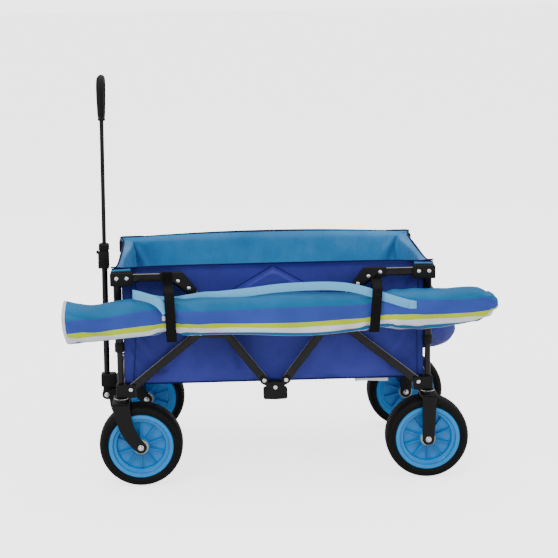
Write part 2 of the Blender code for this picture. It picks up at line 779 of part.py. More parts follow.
def handle_grip():
    """Closed loop grip on a short neck."""
    x = HANDLE_PIVOT[0]
    width = GRIP_HALF_WIDTH
    bend = 0.026
    outline = arc((width - bend, GRIP_TOP_Z - bend), bend, 0, 90, 4)
    outline += arc((bend - width, GRIP_TOP_Z - bend), bend, 90, 180, 4)
    outline += arc((-0.012, GRIP_BOTTOM_Z + 0.014), 0.014, 205, 270, 3)
    outline += arc((0.012, GRIP_BOTTOM_Z + 0.014), 0.014, 270, 335, 3)
    curve = bpy.data.curves.new("grip_line", "CURVE")
    curve.dimensions = "3D"
    curve.bevel_depth = GRIP_R
    curve.bevel_resolution = 2
    line = curve.splines.new("POLY")
    line.points.add(len(outline) - 1)
    line.use_cyclic_u = True
    for point, (y, z) in zip(line.points, outline):
        point.co = (x, y, z, 1.0)
    guide = bpy.data.objects.new("grip_line", curve)
    bpy.context.collection.objects.link(guide)
    bpy.context.view_layer.update()
    graph = bpy.context.evaluated_depsgraph_get()
    mesh = bpy.data.meshes.new_from_object(guide.evaluated_get(graph))
    bpy.data.objects.remove(guide, do_unlink=True)
    bm = bmesh.new()
    bm.from_mesh(mesh)
    bmesh.ops.remove_doubles(bm, verts=bm.verts, dist=1e-6)
    loop = solid(bm)
    neck = upright(x, 0.0, (GRIP_BOTTOM_Z - 0.014, GRIP_BOTTOM_Z + 0.010), GRIP_R)
    add(loop, neck)
    socket = (GRIP_BOTTOM_Z - 0.03, UPPER_TUBE_Z[1] + GAP)
    return lean(cut(loop, upright(x, 0.0, socket, UPPER_TUBE_R + GAP)))


# --- Assembly -------------------------------------------------------------------------------

ENDS = (("rear", 1), ("front", -1))
SIDES = (("left", -1), ("right", 1))


def make_bodies(cart):
    """One empty for each moving body, on its joint's axis."""
    cart.body("rear_base", (0, 0, 0))
    cart.body("top_hubs", (TOP_HUB_PIVOT[0], 0, TOP_HUB_PIVOT[1]))
    cart.body("bottom_hubs", (BOTTOM_HUB_PIVOT[0], 0, BOTTOM_HUB_PIVOT[1]))
    cart.body("front_base", (-BRACKET_PIVOT[0], 0, BRACKET_PIVOT[1]))
    for end, sx in ENDS:
        cart.body(end + "_lower_bars", (sx * BRACKET_PIVOT[0], 0, BRACKET_PIVOT[1]))
        cart.body(end + "_upper_bars", (sx * CROSSING[0], 0, CROSSING[1]))
        cart.body(end + "_top", (sx * CAP_PIVOT[0], 0, CAP_PIVOT[1]))
        cart.body(end + "_strap", (sx * LOOP_X, BAG_Y[1], CAP_PIVOT[1]))
        for side, sy in SIDES:
            hub_x = REAR_WHEEL_X if end == "rear" else -FRONT_WHEEL_X
            cart.body(f"{end}_{side}_wheel", (hub_x, sy * POST_Y, WHEEL_R))
    for side, sy in SIDES:
        cart.body(f"front_{side}_caster", (-POST_X, sy * POST_Y, WHEEL_R))
    lift = BUTTON_Z - HANDLE_PIVOT[2]
    button_x = HANDLE_PIVOT[0] + math.sin(HANDLE_LEAN) * lift
    cart.body("handle_base", HANDLE_PIVOT)
    cart.body("handle_top", HANDLE_PIVOT)
    cart.body("handle_release", (button_x, 0, BUTTON_Z))
    cart.body("parasol", (0, (BAG_Y[0] + BAG_Y[1]) / 2, (BAG_Z[0] + BAG_Z[1]) / 2))


def place_frame(cart):
    for end, sx in ENDS:
        cart.place(lower_frame(), end + "_lower_frame", end + "_base", "frame_black", sx)
        cart.place(upper_frame(), end + "_upper_frame", end + "_top", "frame_black", sx)
        for side, sy in SIDES:
            corner = f"{end}_{side}_"
            cart.place(bracket(), corner + "bracket", end + "_base", "plastic_black", sx, sy)
            cart.place(cap(), corner + "cap", end + "_top", "plastic_black", sx, sy)
            lower = end + "_lower_bars"
            upper = end + "_upper_bars"
            cart.place(lower_bar(), corner + "lower_bar", lower, "frame_black", sx, sy)
            cart.place(upper_bar(), corner + "upper_bar", upper, "frame_black", sx, sy)
            cart.place(elbow(), corner + "elbow", upper, "plastic_black", sx, sy)
    for side, sy in SIDES:
        cart.place(top_hub(), side + "_top_hub", "top_hubs", "plastic_black", 1, sy)
        cart.place(bottom_hub(), side + "_bottom_hub", "bottom_hubs", "plastic_black", 1, sy)


def place_wheels(cart):
    for end, sx in ENDS:
        hub_x = REAR_WHEEL_X if end == "rear" else FRONT_WHEEL_X
        outline = rear_leg_outline() if end == "rear" else front_leg_outline()
        for side, sy in SIDES:
            corner = f"{end}_{side}_"
            carrier = "rear_base" if end == "rear" else corner + "caster"
            cart.place(fork(outline, hub_x), corner + "fork", carrier, "plastic_black", sx, sy)
            cart.place(axle(hub_x), corner + "axle", carrier, "steel", sx, sy)
            cart.place(disc(hub_x), corner + "wheel_disc", corner + "wheel", "wheel_blue", sx, sy)
            cart.place(tyre(hub_x), corner + "tyre", corner + "wheel", "tyre_rubber", sx, sy)


def place_soft_parts(cart):
    cart.place(tub(), "fabric_tub", "rear_top", "tub_fabric")
    cart.place(base_mat(), "base_mat", "rear_top", "mat_fabric")
    cart.place(rear_pocket(), "rear_pocket", "rear_top", "tub_fabric")
    cart.place(parasol_bag(), "parasol_bag", "parasol", "stripe_fabric")
    cart.place(parasol_sling(), "parasol_sling", "parasol", "sling_webbing")
    for end, sx in ENDS:
        cart.place(strap_loop(), end + "_strap_loop", end + "_strap", "webbing", sx)


def place_handle(cart):
    cart.place(handle_mount(), "handle_mount", "front_base", "plastic_black")
    cart.place(handle_foot(), "handle_foot", "handle_base", "plastic_black")
    lower = tube(LOWER_TUBE_Z, LOWER_TUBE_R, LOWER_TUBE_BORE_R)
    cart.place(lower, "handle_lower_tube", "handle_base", "frame_black")
    cart.place(handle_lock(), "handle_lock", "handle_base", "plastic_black")
    upper = tube(UPPER_TUBE_Z, UPPER_TUBE_R, UPPER_TUBE_BORE_R)
    cart.place(upper, "handle_upper_tube", "handle_top", "frame_black")
    cart.place(handle_grip(), "handle_grip", "handle_top", "plastic_black")
    cart.place(handle_button(), "handle_button", "handle_release", "plastic_black")


def main():
    clear_scene()
    cart = Cart()
    make_bodies(cart)
    place_frame(cart)
    place_wheels(cart)
    place_soft_parts(cart)
    place_handle(cart)


main()
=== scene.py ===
"""Looks of the folding beach cart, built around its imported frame.

Metres, +Z up, handle at -X; the tables read by mm() are in millimetres. Shapes are drawn about the
middle of the frame, most of them once for the rear right corner, +X +Y, and mirrored when they are fitted.
"""

import json
import math

import bmesh
import bpy
import numpy as np
from mathutils import Matrix, Vector
from mathutils.geometry import convex_hull_2d


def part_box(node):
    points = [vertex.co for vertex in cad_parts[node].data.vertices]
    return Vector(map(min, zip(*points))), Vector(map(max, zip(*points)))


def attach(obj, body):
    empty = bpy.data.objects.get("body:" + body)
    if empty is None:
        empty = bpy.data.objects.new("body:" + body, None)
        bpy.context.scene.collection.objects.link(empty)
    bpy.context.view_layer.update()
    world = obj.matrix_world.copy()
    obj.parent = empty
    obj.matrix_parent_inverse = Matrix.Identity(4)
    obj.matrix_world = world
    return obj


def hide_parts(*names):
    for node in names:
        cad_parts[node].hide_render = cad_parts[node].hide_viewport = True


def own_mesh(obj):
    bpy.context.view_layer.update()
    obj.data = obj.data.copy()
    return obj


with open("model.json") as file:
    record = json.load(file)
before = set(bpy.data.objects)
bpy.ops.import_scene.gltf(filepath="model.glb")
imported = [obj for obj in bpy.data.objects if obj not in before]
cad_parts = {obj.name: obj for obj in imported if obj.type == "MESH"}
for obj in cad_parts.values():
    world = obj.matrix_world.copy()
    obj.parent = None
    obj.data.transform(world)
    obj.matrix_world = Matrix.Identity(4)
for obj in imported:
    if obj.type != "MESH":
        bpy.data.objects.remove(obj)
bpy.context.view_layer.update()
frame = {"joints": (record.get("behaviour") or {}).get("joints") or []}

JOINTS = {joint["name"]: joint for joint in frame["joints"]}
ENDS = (("rear", 1), ("front", -1))
SIDES = (("left", -1), ("right", 1))
CORNERS = [(end, f"{end}_{side}_", (sx, sy)) for end, sx in ENDS for side, sy in SIDES]
tub_low, tub_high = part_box("fabric_tub")
MIDDLE = Vector(((tub_low.x + tub_high.x) / 2, (tub_low.y + tub_high.y) / 2, 0))


def node_box(name):
    """A CAD node's lowest and highest corners, measured from the middle of the frame."""
    return [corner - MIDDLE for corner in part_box(name)]


def joint_point(name):
    return Vector(JOINTS[name]["pos_m"]) - MIDDLE


# Linkage pivots of the rear half, and the handle's
BRACKET_PIN, RAIL_PIN, CROSSING, TOP_PIN, BOTTOM_PIN, HANDLE_PIN = [
    joint_point(name)
    for name in ("fold", "rear_rail", "rear_crossing", "rear_top_pin", "rear_bottom_pin", "handle_tilt")
]

# Posts, bars and wheels, from their nodes
post_low, post_high = node_box("rear_lower_frame")
sleeve_low, sleeve_high = node_box("rear_upper_frame")
wheel_low, wheel_high = node_box("rear_right_tyre")
upper_low, upper_high = node_box("rear_right_upper_bar")
lower_low = node_box("rear_right_lower_bar")[0]
POST_X = (post_low.x + post_high.x) / 2
POST_Y = (wheel_low.y + wheel_high.y) / 2
POST_R = (post_high.x - post_low.x) / 2
COLLAR_R = (sleeve_high.x - sleeve_low.x) / 2
SLEEVE_R = COLLAR_R - 0.002
WHEEL_R = wheel_high.z / 2
TYRE_HALF = (wheel_high.y - wheel_low.y) / 2
REAR_HUB_X = (wheel_low.x + wheel_high.x) / 2
FRONT_HUB_X = -joint_point("front_right_wheel_spin").x
UPPER_BAR_Y = (upper_low.y, upper_high.y)
LOWER_BAR_Y = (lower_low.y, lower_low.y + 0.009)
BAR_HALF = upper_high.z - RAIL_PIN.z


# --- Node materials -------------------------------------------------------------------------

SHADER_INPUTS = {
    "colour": "Base Color", "roughness": "Roughness", "metallic": "Metallic", "normal": "Normal",
    "specular": "Specular IOR Level", "sheen": "Sheen Weight", "sheen_roughness": "Sheen Roughness",
    "coat": "Coat Weight", "coat_roughness": "Coat Roughness",
}


def tint(colour, scale, lift=0.0):
    return tuple(min(1.0, part * scale + lift) for part in colour)


class Finish:
    """A Principled material with short calls for the nodes that feed it."""

    def __init__(self, name, **inputs):
        self.material = bpy.data.materials.new(name)
        self.material.use_nodes = True
        self.tree = self.material.node_tree
        self.shader = self.tree.nodes["Principled BSDF"]
        self.place = self.node("TexCoord", "Object")
        self.normal = None
        self.put(**inputs)

    def put(self, **inputs):
        """Feeds the shader's inputs, by the short names above."""
        for name, value in inputs.items():
            self.feed(self.shader.inputs[SHADER_INPUTS[name]], value)

    def feed(self, socket, value):
        if isinstance(value, bpy.types.NodeSocket):
            self.tree.links.new(value, socket)
        else:
            socket.default_value = (*value, 1.0) if socket.type == "RGBA" else value

    def node(self, kind, output, inputs=None, **settings):
        """Adds a node and returns one of its outputs."""
        made = self.tree.nodes.new("ShaderNode" + kind)
        for name, value in settings.items():
            setattr(made, name, value)
        for socket, value in (inputs or {}).items():
            self.feed(made.inputs[socket], value)
        return made.outputs[output]

    def math(self, operation, first, second=0.0):
        return self.node("Math", 0, {0: first, 1: second}, operation=operation)

    def times(self, first, second):
        return self.math("MULTIPLY", first, second)

    def axis(self, number, vector=None):
        return self.node("SeparateXYZ", number, {0: vector or self.place})

    def noise(self, scale, detail=3.0, roughness=0.5, stretch=(1, 1, 1)):
        place = self.node("Mapping", 0, {"Vector": self.place, "Scale": stretch})
        inputs = {"Vector": place, "Scale": scale, "Detail": detail, "Roughness": roughness}
        return self.node("TexNoise", "Fac", inputs)

    def remap(self, value, low, high, to_low=0.0, to_high=1.0):
        inputs = {"Value": value, "From Min": low, "From Max": high, "To Min": to_low, "To Max": to_high}
        return self.node("MapRange", 0, inputs)

    def mix(self, factor, first, second):
        return self.node("Mix", 2, {0: factor, 6: first, 7: second}, data_type="RGBA")

    def scaled(self, colour, amount):
        return self.node("VectorMath", 0, {0: colour, "Scale": amount}, operation="SCALE")

    def bump(self, height, distance, strength):
        """Adds a height in metres on top of the bumps laid so far."""
        inputs = {"Height": height, "Distance": distance, "Strength": strength}
        if self.normal:
            inputs["Normal"] = self.normal
        self.normal = self.node("Bump", 0, inputs)
        self.put(normal=self.normal)

    def wave(self, along, pitch):
        return self.math("SINE", self.times(along, 2 * math.pi / pitch))

    def weave(self, pitch, flat=False):
        """Plain weave over upright cloth, or over cloth that lies flat."""
        x, y, z = (self.axis(number) for number in range(3))
        warp = self.wave(x if flat else self.math("ADD", x, y), pitch)
        weft = self.wave(y if flat else z, pitch)
        return self.remap(self.times(warp, weft), -1.0, 1.0)


def fabric(name, colour, shade, roughness=0.6, flat=False, sheen=0.04):
    """Coated woven polyester: two tones, plain weave with painted shade in its low points, soft creases."""
    made = Finish(name, sheen=sheen, sheen_roughness=0.4, specular=0.22)
    weave = made.weave(0.0016, flat)
    clouds = made.remap(made.noise(5.0, 4.0, 0.55), 0.35, 0.68)
    speckle = made.remap(made.noise(420.0, 2.0), 0.3, 0.7, 0.92, 1.06)
    # Painted shade: the low points of the weave are mixed up to about a third of the way towards a darker
    # tone.
    gap_shade = made.remap(weave, 0.0, 0.45, 0.35, 0.0)
    threads = made.mix(gap_shade, made.mix(clouds, colour, shade), tint(shade, 0.7))
    made.put(colour=made.scaled(threads, speckle))
    made.put(roughness=made.remap(clouds, 0.0, 1.0, roughness - 0.06, roughness + 0.08))
    made.bump(made.noise(14.0), 0.004, 0.4)
    made.bump(weave, 0.00035, 0.35)
    return made.material


def webbing(name, colour, shade, rib=0.0022):
    """Flat woven webbing with cross ribs, painted shade in the grooves between them, and thread speckle."""
    made = Finish(name, roughness=0.72, specular=0.1)
    ribs = made.remap(made.wave(made.math("ADD", made.axis(0), made.axis(2)), rib), -1.0, 1.0)
    speckle = made.remap(made.noise(600.0, 2.0), 0.3, 0.7)
    # Painted shade: the grooves between the ribs take the darker tone, the rib tops the main colour.
    made.put(colour=made.mix(made.times(ribs, speckle), shade, colour))
    made.bump(ribs, 0.0004, 0.5)
    return made.material


def striped_fabric(name, stripes):
    """Woven cloth whose stripes run along the bag, placed by the mesh's stripe value."""
    made = Finish(name, roughness=0.55, specular=0.22)
    ramp = made.tree.nodes.new("ShaderNodeValToRGB")
    ramp.color_ramp.interpolation = "CONSTANT"
    made.feed(ramp.inputs[0], made.times(made.node("Attribute", "Fac", attribute_name="stripe"), 0.5))
    elements = ramp.color_ramp.elements
    elements.remove(elements[-1])
    for start, colour in stripes:
        element = elements.new(start / 2) if start else elements[0]
        element.color = (*colour, 1.0)
    clouds = made.remap(made.noise(9.0, 4.0), 0.35, 0.7, 0.84, 1.08)
    speckle = made.remap(made.noise(500.0, 2.0), 0.3, 0.7, 0.94, 1.04)
    made.put(colour=made.scaled(ramp.outputs[0], made.times(clouds, speckle)))
    made.bump(made.noise(24.0), 0.002, 0.45)
    made.bump(made.weave(0.0014), 0.0003, 0.3)
    return made.material


def painted_steel(name, colour):
    """Satin powder coat: orange peel, faint dust, and a painted highlight, pale grey, on faces that slope
    upwards.
    """
    made = Finish(name, specular=0.25)
    dust = made.remap(made.noise(18.0, 5.0, 0.6), 0.45, 0.75)
    up = made.axis(2, made.node("NewGeometry", "Normal"))
    # Painted highlight: faces whose normals point partly up are mixed towards pale grey, fully where they
    # slope and a quarter where they face straight up.
    painted_highlight = made.times(made.remap(up, 0.40, 0.58), made.remap(up, 0.97, 0.86, 0.25, 1.0))
    made.put(colour=made.mix(painted_highlight, made.mix(dust, colour, tint(colour, 1.8, 0.004)), (0.24, 0.24, 0.25)))
    made.put(roughness=made.remap(made.noise(60.0), 0.3, 0.7, 0.18, 0.30))
    made.bump(made.noise(900.0, 2.0), 0.00012, 0.35)
    return made.material


def moulded(name, colour, roughness, grain=1400.0, depth=0.00012, coat=0.0, wear=0.35, specular=0.2):
    """Moulded plastic: pebbled grain, slight marbling, scuffs."""
    made = Finish(name, coat=coat, coat_roughness=0.15, specular=specular)
    scuffs = made.remap(made.noise(34.0, 6.0, 0.7), 0.56, 0.80, 0.0, wear)
    base = made.mix(made.remap(made.noise(12.0), 0.35, 0.65), colour, tint(colour, 0.86))
    made.put(colour=made.mix(scuffs, base, tint(colour, 1.5, 0.010)))
    made.put(roughness=made.remap(scuffs, 0.0, 1.0, roughness, roughness + 0.3))
    made.bump(made.node("TexVoronoi", "Distance", {"Vector": made.place, "Scale": grain}), depth, 0.4)
    return made.material


def rubber(name, colour):
    """Tyre rubber: matt, with a dusty bloom and fine pitting."""
    made = Finish(name, specular=0.12)
    dust = made.remap(made.noise(26.0, 6.0, 0.65), 0.50, 0.78, 0.0, 0.6)
    made.put(colour=made.mix(dust, colour, tint(colour, 2.0, 0.004)))
    made.put(roughness=made.remap(dust, 0.0, 1.0, 0.6, 0.9))
    made.bump(made.noise(700.0), 0.00018, 0.5)
    return made.material


def bright_steel(name):
    """Zinc plated steel with fine turning marks."""
    made = Finish(name, metallic=1.0)
    marks = made.noise(300.0, 2.0, 0.5, (1.0, 0.15, 1.0))
    made.put(colour=made.mix(made.remap(marks, 0.3, 0.7), (0.72, 0.72, 0.73), (0.90, 0.90, 0.90)))
    made.put(roughness=made.remap(marks, 0.3, 0.7, 0.2, 0.4))
    made.bump(marks, 0.00008, 0.3)
    return made.material


ROYAL, ROYAL_SHADE = (0.036, 0.043, 0.310), (0.020, 0.025, 0.195)
SKY, SKY_SHADE = (0.052, 0.270, 0.560), (0.019, 0.160, 0.385)
NAVY, NAVY_SHADE = (0.006, 0.012, 0.090), (0.004, 0.007, 0.050)
BLACK = (0.0040, 0.0034, 0.0034)
OFF_WHITE = (0.70, 0.72, 0.78)
TEAL = (0.006, 0.135, 0.320)
STRIPE_BLUE = (0.030, 0.066, 0.350)
LIME = (0.47, 0.60, 0.012)
LAVENDER = (0.40, 0.38, 0.56)

# Where each stripe starts: 0 to 1 down the bag's outer side, 1 to 2 up the side next to the tub
STRIPES = (
    (0.0, TEAL), (0.28, STRIPE_BLUE), (0.62, LIME), (0.75, OFF_WHITE), (0.88, TEAL), (0.955, LAVENDER),
    (1.0, TEAL), (1.10, OFF_WHITE), (1.22, LIME), (1.34, STRIPE_BLUE), (1.60, TEAL),
)

LOOK = {
    "outer": fabric("royal_polyester", ROYAL, ROYAL_SHADE),
    "inner": fabric("sky_polyester", SKY, SKY_SHADE, roughness=0.55),
    "floor": fabric("sky_polyester_flat", SKY, SKY_SHADE, roughness=0.58, flat=True),
    "under": fabric("royal_polyester_flat", ROYAL, ROYAL_SHADE, flat=True),
    "binding": webbing("navy_binding", NAVY, NAVY_SHADE, rib=0.0014),
    "loop": webbing("black_webbing", (0.0065, 0.0058, 0.0060), (0.0030, 0.0028, 0.0028)),
    "sling": webbing("sky_webbing", (0.18, 0.52, 0.80), (0.11, 0.38, 0.66)),
    "lining": fabric("white_lining", OFF_WHITE, (0.52, 0.52, 0.60), sheen=0.1),
    "thread": webbing("navy_thread", (0.014, 0.026, 0.17), (0.008, 0.014, 0.11), rib=0.0012),
    "frame": painted_steel("black_powder_coat", BLACK),
    "plastic": moulded("black_plastic", BLACK, 0.46),
    "grip": moulded("soft_black_grip", BLACK, 0.6, grain=900.0, depth=0.0003),
    "blue": moulded("blue_plastic", (0.004, 0.235, 0.620), 0.30, 2200.0, 0.00005, 0.15, 0.12, 0.4),
    "bushing": moulded("cream_plastic", (0.55, 0.50, 0.40), 0.5, wear=0.1),
    "tyre": rubber("tyre_rubber_finish", (0.0045, 0.0040, 0.0036)),
    "steel": bright_steel("zinc_steel"),
    "stripes": striped_fabric("striped_polyester", STRIPES),
}


# --- Mesh helpers ---------------------------------------------------------------------------


def mm(*points):
    """Points given in millimetres, as metres."""
    return [tuple(value / 1000 for value in point) for point in points]


def show(mesh, looks, sharp):
    for look in looks:
        mesh.materials.append(LOOK[look])
    mesh.shade_smooth()
    mesh.set_sharp_from_angle(angle=math.radians(sharp))
    obj = bpy.data.objects.new("part", mesh)
    bpy.context.collection.objects.link(obj)
    return obj


def sheet(verts, faces, *looks):
    """An open sheet whose faces keep the side they are given."""
    mesh = bpy.data.meshes.new("sheet")
    mesh.from_pydata([tuple(v) for v in verts], [], [tuple(f) for f in faces])
    return show(mesh, looks, 60.0)


def closed_body(bm, look, sharp=35.0):
    mesh = bpy.data.meshes.new("body")
    bmesh.ops.recalc_face_normals(bm, faces=bm.faces)
    bm.to_mesh(mesh)
    bm.free()
    return show(mesh, [look], sharp)


def bake(obj):
    """Replaces the object's mesh with what its modifiers make of it."""
    bpy.context.view_layer.update()
    mesh = bpy.data.meshes.new_from_object(obj.evaluated_get(bpy.context.evaluated_depsgraph_get()))
    obj.modifiers.clear()
    obj.data = mesh
    return obj


def modify(obj, kind, **settings):
    modifier = obj.modifiers.new(kind.lower(), kind)
    for name, value in settings.items():
        setattr(modifier, name, value)


def thicken(obj, thickness, inner_slot=0):
    modify(obj, "SOLIDIFY", thickness=thickness, offset=-1.0, material_offset=inner_slot)
    return bake(obj)


def join(parts):
    """One object from several, with all their materials."""
    target = parts[0]
    if len(parts) > 1:
        with bpy.context.temp_override(
            active_object=target, object=target, selected_editable_objects=parts, selected_objects=parts
        ):
            bpy.ops.object.join()
    return target


def fit(name, parts, body, slot, *nodes, flip=(1, 1)):
    """Names, mirrors and moves a finished piece to the cart's place, on its body, for the named nodes."""
    obj = join(parts)
    obj.name = obj.data.name = name
    obj.data.transform(Matrix.Translation(MIDDLE) @ Matrix.Diagonal((*flip, 1, 1)))
    if flip[0] * flip[1] < 0:
        obj.data.flip_normals()
    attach(obj, body)
    if nodes:
        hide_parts(*nodes)
    return obj


def hang(name, parts, *nodes, slot="tub_fabric", flip=(1, 1)):
    """Fits cloth that hangs from the rear top, on a mesh of its own."""
    obj = fit(name, parts, "rear_top", slot, *nodes, flip=flip)
    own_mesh(obj)


def grid_faces(rows, columns, closed=False):
    """Quads over a grid of points stored row by row."""
    faces = []
    for a in range(0, (rows - 1) * columns, columns):
        for j in range(columns if closed else columns - 1):
            k = (j + 1) % columns
            faces.append((a + j, a + k, a + columns + k, a + columns + j))
    return faces


def loft(rings, look, closed=False, sharp=35.0):
    """A skin over rings of points, capped at both ends, or joined end to end if closed."""
    count, total = len(rings[0]), len(rings) * len(rings[0])
    bm = bmesh.new()
    points = [bm.verts.new(point) for ring in rings for point in ring]
    faces = grid_faces(len(rings) + closed, count, closed=True)
    if not closed:
        faces += [range(count)[::-1], range(total - count, total)]
    for face in faces:
        bm.faces.new([points[i % total] for i in face])
    return closed_body(bm, look, sharp)


def unit_rows(vectors):
    return vectors / np.linalg.norm(vectors, axis=1)[:, None]


def tube(path, radius, look, segments=28, closed=False):
    """A round tube along a path, carried without twist. The radius is one number or one for each point."""
    points = np.array(path, float)
    steps = np.roll(points, -1, 0) - np.roll(points, 1, 0) if closed else np.gradient(points, axis=0)
    tangents = unit_rows(steps)
    normal = np.array((0.0, 0.0, 1.0)) if abs(tangents[0][2]) < 0.9 else np.array((1.0, 0.0, 0.0))
    angles = np.arange(segments) * 2 * math.pi / segments
    rings = []
    for point, tangent, reach in zip(points, tangents, np.broadcast_to(radius, len(points))):
        normal = normal - tangent * (normal @ tangent)
        normal = normal / np.linalg.norm(normal)
        side = np.cross(tangent, normal)
        rings.append([point + (normal * math.cos(a) + side * math.sin(a)) * reach for a in angles])
    return loft(rings, look, closed=closed)


def rod(first, last, radius, look, chamfer=0.0006):
    """A straight round bar with chamfered ends."""
    first, last = Vector(first), Vector(last)
    along = (last - first).normalized() * chamfer
    path = (first, first + along, last - along, last)
    return tube(path, (radius - chamfer, radius, radius, radius - chamfer), look)


def turned(profile, centre, look, axis="Y", segments=72, ring=True, sharp=30.0):
    """A body turned round an axis from (radius, offset) points: a ring, or capped at its ends."""
    rings = []
    for radius, offset in profile:
        points = []
        for i in range(segments):
            angle = 2 * math.pi * i / segments
            u, v = radius * math.cos(angle), radius * math.sin(angle)
            points.append(Vector((u, offset, v) if axis == "Y" else (u, v, offset)) + Vector(centre))
        rings.append(points)
    return loft(rings, look, closed=ring, sharp=sharp)


def dome(centre, radius, height, side=1):
    """A domed steel rivet head with a flat rim, standing on a face that looks along Y."""
    profile = [(radius * 0.9, -0.0008 * side), (radius, 0.0), (radius, height * 0.3 * side)]
    for step in range(1, 6):
        angle = math.radians(18 * step)
        rise = height * (0.3 + 0.7 * math.sin(angle))
        profile.append((max(radius * math.cos(angle), 0.00012), rise * side))
    return turned(profile, centre, "steel", segments=20, ring=False, sharp=50.0)


def rounded_box(low, high, radius, look, segments=3):
    low, high = Vector(low), Vector(high)
    bm = bmesh.new()
    bmesh.ops.create_cube(bm, size=1.0)
    scale = Matrix.Diagonal((*(high - low), 1.0))
    bmesh.ops.transform(bm, matrix=Matrix.Translation((low + high) / 2) @ scale, verts=bm.verts)
    bmesh.ops.bevel(bm, geom=bm.edges[:], offset=radius, segments=segments, affect="EDGES", profile=0.5)
    return closed_body(bm, look)


def arc(centre, radius, start, end, steps):
    """Points along an arc, angles in degrees from the first axis towards the second."""
    angles = [math.radians(start + (end - start) * i / steps) for i in range(steps + 1)]
    return [(centre[0] + radius * math.cos(a), centre[1] + radius * math.sin(a)) for a in angles]


def bezier(first, middle, last, t):
    return first * (1 - t) ** 2 + middle * 2 * t * (1 - t) + last * t**2


def smooth_line(points, steps):
    """A Catmull-Rom line through points, with steps points between each pair."""
    p = [np.array(q, float) for q in points]
    p = [2 * p[0] - p[1]] + p + [2 * p[-1] - p[-2]]
    line = []
    for i in range(1, len(p) - 2):
        for t in (k / steps for k in range(steps)):
            linear = (p[i + 1] - p[i - 1]) * t
            square = (2 * p[i - 1] - 5 * p[i] + 4 * p[i + 1] - p[i + 2]) * t**2
            cube = (3 * p[i] - p[i - 1] - 3 * p[i + 1] + p[i + 2]) * t**3
            line.append(0.5 * (2 * p[i] + linear + square + cube))
    return np.array(line + [p[-2]])


def strip_outline(points, half, steps=14):
    """The outline of a bar of even height along a line of XZ points, with round ends."""
    path = [Vector(p) for p in points]
    upper, lower = [], []
    for i, point in enumerate(path):
        before = (point - path[i - 1]).normalized() if i else None
        after = (path[i + 1] - point).normalized() if i + 1 < len(path) else None
        along = ((before or after) + (after or before)).normalized()
        normal = Vector((-along.y, along.x))
        reach = half / normal.dot(Vector((-(after or before).y, (after or before).x)))
        upper.append(point + normal * reach)
        lower.append(point - normal * reach)

    def end(centre, first):
        start = math.degrees(math.atan2(first.y - centre.y, first.x - centre.x))
        return arc(centre, half, start, start - 180, steps)[1:-1]

    return upper + end(path[-1], upper[-1]) + lower[::-1] + end(path[0], lower[0])


def rounded_outline(corners, steps=5):
    """An outline through corners, each given as (x, z, rounding)."""
    outline = []
    for i, (x, z, rounding) in enumerate(corners):
        corner = Vector((x, z))
        if not rounding:
            outline.append(corner)
            continue
        first, last = (
            corner + (Vector(near[:2]) - corner).normalized() * rounding
            for near in (corners[i - 1], corners[(i + 1) % len(corners)])
        )
        outline += [bezier(first, corner, last, k / steps) for k in range(steps + 1)]
    return outline


def hull_outline(circles, steps=40):
    """The outline of a belt pulled round circles, each given as (centre, radius)."""
    points = [point for centre, radius in circles for point in arc(centre, radius, 0, 360, steps)[:-1]]
    return [points[i] for i in convex_hull_2d(points)]


def plate(outline, span, look, bevel=0.0015, segments=3, turn=50.0):
    """An XZ outline drawn out along Y, its edges rounded."""
    bm = bmesh.new()
    face = bm.faces.new([bm.verts.new((x, span[0], z)) for x, z in outline])
    made = bmesh.ops.extrude_face_region(bm, geom=[face])["geom"]
    moved = [item for item in made if isinstance(item, bmesh.types.BMVert)]
    bmesh.ops.translate(bm, verts=moved, vec=(0, span[1] - span[0], 0))
    bmesh.ops.recalc_face_normals(bm, faces=bm.faces)
    edges = [e for e in bm.edges if len(e.link_faces) == 2 and e.calc_face_angle() > math.radians(turn)]
    bmesh.ops.bevel(bm, geom=edges, offset=bevel, segments=segments, affect="EDGES", profile=0.5)
    return closed_body(bm, look)


def ribbon(path, across, width, thickness, look):
    """Flat webbing along a path, across giving its width direction at each point."""
    points = np.array(path, float)
    tangents = unit_rows(np.gradient(points, axis=0))
    across = np.broadcast_to(np.array(across, float), points.shape)
    across = unit_rows(across - tangents * np.sum(across * tangents, axis=1)[:, None])
    widths = np.broadcast_to(np.array(width, float), len(points)) / 2
    thick = thickness / 2
    rings = []
    for p, a, o, half in zip(points, across, np.cross(tangents, across), widths):
        edge = half - thick
        section = ((-half, 0), (-edge, thick), (0, thick * 0.8), (edge, thick))
        section += tuple((-u, -v) for u, v in section)
        rings.append([p + a * u + o * v for u, v in section])
    return loft(rings, look, sharp=50.0)


def ease(t):
    t = np.clip(t, 0.0, 1.0)
    return t * t * (3 - 2 * t)


def hill(value, centre, width):
    """1 at the centre, falling away to both sides."""
    return np.exp(-(((value - centre) / width) ** 2))


def mesh_points(obj):
    return np.array([v.co for v in obj.data.vertices], float)


def set_points(obj, points):
    obj.data.vertices.foreach_set("co", np.asarray(points, np.float32).ravel())
    obj.data.update()


